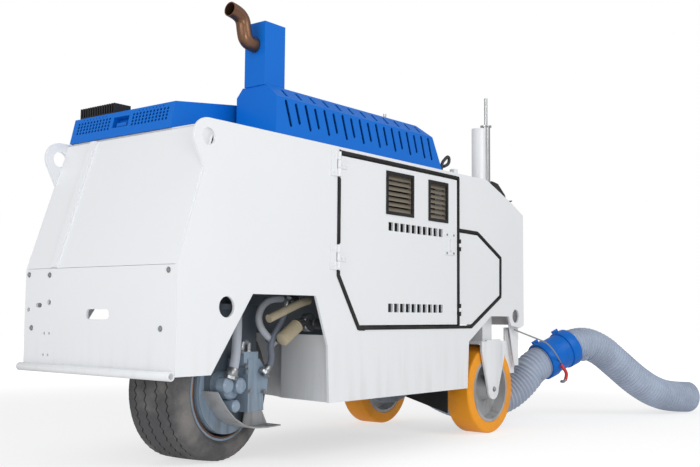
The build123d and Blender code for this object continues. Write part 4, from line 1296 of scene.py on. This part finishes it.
# %% Hose coupling
coupling_frame = aimed(coupling_start, coupling_way)
BAND_WIDTH = 0.020
BAND_BEVEL = 0.003
EAR_TURNS = (62.0, 78.0)
band_section = [(0.0, 0.086), (0.0, 0.0935), (BAND_BEVEL, 0.0955), (BAND_WIDTH - BAND_BEVEL, 0.0955),
                (BAND_WIDTH, 0.0935), (BAND_WIDTH, 0.086)]
bands = []
for start in (-0.004, coupling_way.length - 0.016):
    bands.append(ring([(start + along, radius) for along, radius in band_section], coupling_frame, 72))
    for turn in EAR_TURNS:
        ear = coupling_frame @ Matrix.Rotation(math.radians(turn), 4, "Z")
        bands.append(block((0.090, -0.003, start), (0.112, 0.003, start + BAND_WIDTH), ear, 0.0015))
fit("coupling_bands", bands, "machine", blue_paint)
red_paint = paint("red_paint", colour(196, 28, 34), colour(90, 40, 38), low_grime=0.2)
lever = [(-1.452, 0.425, 0.290), (-1.462, 0.446, 0.262), (-1.470, 0.448, 0.236), (-1.455, 0.446, 0.214)]
grip = [(-1.455, 0.446, 0.216), (-1.440, 0.444, 0.204), (-1.424, 0.440, 0.210)]
rope = [(-1.030, 0.392, 0.470), (-1.180, 0.420, 0.430), (-1.330, 0.436, 0.395), (-1.452, 0.425, 0.300)]
fit("coupling_lever", [pipe(lever, 0.0085)], "machine", red_paint)
fit("lever_grip", [pipe(grip, 0.0075)], "machine", zinc)
fit("support_rope", [pipe(rope, 0.0035)], "machine", zinc)

# %% [markdown]
# The rear wheel's fork cheek is a tapered plate with chamfered shoulders and a rounded
# foot round the axle. Behind it a bracket with a diagonal rib carries the curtain. Flat
# outlines with a thickness are all it takes, because the real ones are cut from plate.

# %% Rear cheeks and brackets
REAR_AXLE = (-857.0, 200.0)
# x and z from the axle
cheek = [(-62.0, 226.0), (58.0, 226.0), (80.0, 190.0), (80.0, 130.0), (34.0, -14.0), (20.0, -29.0),
         (0.0, -35.0), (-20.0, -29.0), (-34.0, -14.0), (-80.0, 130.0), (-80.0, 196.0)]
cheek = [(REAR_AXLE[0] + x, REAR_AXLE[1] + z) for x, z in cheek]
bracket = [(-1010.0, 480.0), (-1098.0, 480.0), (-1098.0, 262.0), (-1040.0, 262.0), (-1010.0, 330.0)]
rib = [(-1014.0, 470.0), (-1026.0, 470.0), (-1090.0, 292.0), (-1078.0, 292.0)]
# outline, thickness, distance of the outer face from the middle, edge round
REAR_PLATES = [(cheek, 12.0, 380.0, 0.002), (bracket, 8.0, 352.0, 0.0015), (rib, 8.0, 360.0, 0.0015)]
for side, way, sign in SIDES:
    plates = []
    for outline, steel, outer, rounding in REAR_PLATES:
        leftmost = outer if sign > 0 else steel - outer
        plates.append(plate(outline, steel, side_frame(leftmost), rounding))
    fit(f"rear_cheek_{side}", plates, "machine", white_paint)
    bolt_row(f"axle_bolt_{side}", "machine", zinc, (6, 9.0, 7.0),
             facing_row(way, (REAR_AXLE[0], sign * 380.0, REAR_AXLE[1])))

# %% [markdown]
# Round the drive wheel: a stepped ring on the gearbox, the brown lip that years of heat
# and dust have given the rim, and the motor's round ports and blocks. Turned parts are
# rings on the wheel's own axle, so they follow the parked steering angle by themselves.

# %% Drive gear and motor
gear_section = [(0.118, 0.098), (0.118, 0.166), (0.126, 0.166), (0.128, 0.160), (0.128, 0.140),
                (0.134, 0.140), (0.1355, 0.136), (0.1355, 0.098)]
lip_section = [(0.106, 0.172), (0.106, 0.1815), (0.1165, 0.1815), (0.1185, 0.1795), (0.1185, 0.176),
               (0.110, 0.172)]
fit("gearbox_ring", [ring(gear_section, drive_axle)], "steering", hydraulic_paint)
fit("rim_lip", [ring(lip_section, drive_axle)], "drive_wheel", heated_steel)
# x, z, radius, near end, far end
MOTOR_PORTS = [(0.616, 0.284, 0.050, 0.100, 0.168), (0.650, 0.287, 0.028, 0.150, 0.190),
               (0.590, 0.283, 0.028, 0.150, 0.192), (0.610, 0.212, 0.022, 0.120, 0.186)]
PORT_BEVEL = 0.006
MOTOR_BLOCKS = [((0.496, 0.125, 0.350), (0.570, 0.184, 0.402)),
                ((0.476, 0.130, 0.188), (0.537, 0.184, 0.252))]
housing = []
for x, z, radius, near, far in MOTOR_PORTS:
    depth = far - near
    section = [(0.0, 0.0), (0.0, radius), (depth - PORT_BEVEL, radius), (depth, radius - PORT_BEVEL),
               (depth, 0.0)]
    housing.append(ring(section, aimed((x, near, z), steer_way), 40))
housing += [block(low, high, rounding=0.004) for low, high in MOTOR_BLOCKS]
fit("motor_housing", housing, "steering", hydraulic_paint)

# %% [markdown]
# A bent steel scoop shields the motor from stones, with an upright plate behind. The
# scoop is drawn once as a line from the side and thickened: its second edge is the same
# line, raised by the thickness of the steel.

# %% Motor scoop
SCOOP_STEEL = 0.005
SCOOP_WIDTH = 0.110
scoop_line = [(0.688, 0.262), (0.672, 0.240), (0.640, 0.200), (0.600, 0.164), (0.552, 0.138),
              (0.507, 0.126), (0.440, 0.122), (0.365, 0.124)]
scoop_sheet = scoop_line + [(x, z + SCOOP_STEEL) for x, z in reversed(scoop_line)]
shield = [(0.500, 0.126), (0.367, 0.126), (0.433, 0.245), (0.470, 0.250)]
upright = Matrix(((1, 0, 0), (0, 0, -1), (0, 1, 0))).to_4x4()
scoop = [plate(scoop_sheet, SCOOP_WIDTH, Matrix.Translation((0.0, 0.178, 0.0)) @ upright, 0.001),
         plate(shield, SCOOP_STEEL, Matrix.Translation((0.0, 0.110, 0.0)) @ upright, 0.001)]
fit("motor_scoop", scoop, "steering", wheel_paint, stands_for=["motor_guard"])

# %% [markdown]
# The steering cylinder lies across the bay. Its rod is hidden in a folded rubber boot,
# which is a ring whose radius goes in and out nine times, and it ends in an eye on a pin.
# Above it runs a hose in a woven sleeve.

# %% Steering cylinder
BOOT_FOLDS = 9
FOLD_IN, FOLD_OUT = 0.021, 0.026
EYE_HALF = 0.016
sleeve_tan = rubber("sleeve_tan", colour(196, 184, 158), colour(140, 128, 108), 0.3, rough=0.8, grain=300.0)
boot_start, boot_end = Vector((0.448, 0.250, 0.442)), Vector((0.360, 0.250, 0.497))
boot_way = boot_end - boot_start
boot_section = [(0.0, 0.0)]
for fold in range(BOOT_FOLDS):
    boot_section += [(boot_way.length * fold / BOOT_FOLDS, FOLD_IN),
                     (boot_way.length * (fold + 0.5) / BOOT_FOLDS, FOLD_OUT)]
boot_section += [(boot_way.length, 0.022), (boot_way.length, 0.0)]
boot = ring(boot_section, aimed(boot_start, boot_way), 40)
fit("cylinder_boot", [boot], "machine", sleeve_tan, crease=70.0)
eye_section = [(-EYE_HALF, 0.012), (-EYE_HALF, 0.030), (-0.012, 0.034), (0.012, 0.034), (EYE_HALF, 0.030),
               (EYE_HALF, 0.012)]
eye = ring(eye_section, aimed((0.305, 0.250, 0.506), LEFT), 40)
rod = pipe([boot_end, (0.338, 0.250, 0.503), (0.326, 0.250, 0.505)], 0.019)
pin = pipe([(0.290, 0.250, 0.504), (0.262, 0.250, 0.501), (0.236, 0.250, 0.499)], 0.020)
fit("cylinder_eye", [eye, rod, pin], "machine", zinc)
sleeve = [(0.516, 0.250, 0.520), (0.432, 0.250, 0.549), (0.344, 0.250, 0.579), (0.300, 0.250, 0.588)]
fit("hose_sleeve", [pipe(sleeve, 0.0155)], "machine", sleeve_tan)

# %% [markdown]
# The operator's console has a curved back and a turned-up lip. Its side view is one
# outline, pulled to the console's width, with three low ridges across its top. In front
# of it, behind the exhaust guard, stands a folded lever in its clamp.

# %% Console and lever
CONSOLE_WIDTH = 220.0
RIDGE_WIDTH = 190.0
console_side = [(-960.0, 1083.0), (-948.0, 1150.0), (-987.0, 1181.0), (-1039.0, 1189.0),
                (-1081.0, 1183.0), (-1124.0, 1153.0), (-1151.0, 1134.0), (-1157.0, 1118.0),
                (-1178.0, 1104.0), (-1223.0, 1115.0), (-1224.0, 1110.0), (-1178.0, 1095.0),
                (-1100.0, 1060.0), (-1065.0, 1041.0), (-1000.0, 1069.0)]
console = [plate(console_side, CONSOLE_WIDTH, side_frame(280.0), 0.003)]
for x, z in ((-1058.0, 1184.0), (-1022.0, 1184.0), (-1096.0, 1170.0)):
    ridge = [(x, z), (x + 12.0, z + 4.0), (x + 10.0, z + 10.0), (x - 2.0, z + 6.0)]
    console.append(plate(ridge, RIDGE_WIDTH, side_frame(265.0)))
fit("console_curved", console, "machine", black_plastic, stands_for=["console"])
LEVER_Y = 0.380
lever_line = [(-0.413, 1.162), (-0.415, 1.190), (-0.440, 1.210), (-0.465, 1.228), (-0.478, 1.215),
              (-0.466, 1.188), (-0.430, 1.178)]
stop_lever = pipe([(x, LEVER_Y, z) for x, z in lever_line], 0.007)
fit("stop_lever", [stop_lever], "machine", engine_iron)
clamp = block((-0.527, 0.366, 1.156), (-0.500, 0.392, 1.176))
fit("hose_clamp", [clamp], "machine", white_paint)

# %% [markdown]
# The exhaust pipe leaves the stack, turns up and leans out again. It is open at its end:
# a thinner pipe on the same line, a little longer at the mouth, hollows it.

# %% Exhaust pipe
PIPE_RADIUS = 0.0262
BORE_RADIUS = 0.0225
pipe_line = [(0.611, 0.290, 1.478), (0.660, 0.290, 1.478), (0.697, 0.290, 1.486), (0.706, 0.290, 1.520),
             (0.712, 0.290, 1.556), (0.740, 0.290, 1.574), (0.776, 0.290, 1.578)]
bore_line = pipe_line[:-1] + [(0.800, 0.290, 1.5805)]
bend = carve(pipe(pipe_line, PIPE_RADIUS, 8), [pipe(bore_line, BORE_RADIUS, 7)])
fit("exhaust_bend", [bend], "machine", heated_steel, stands_for=["exhaust_pipe"])
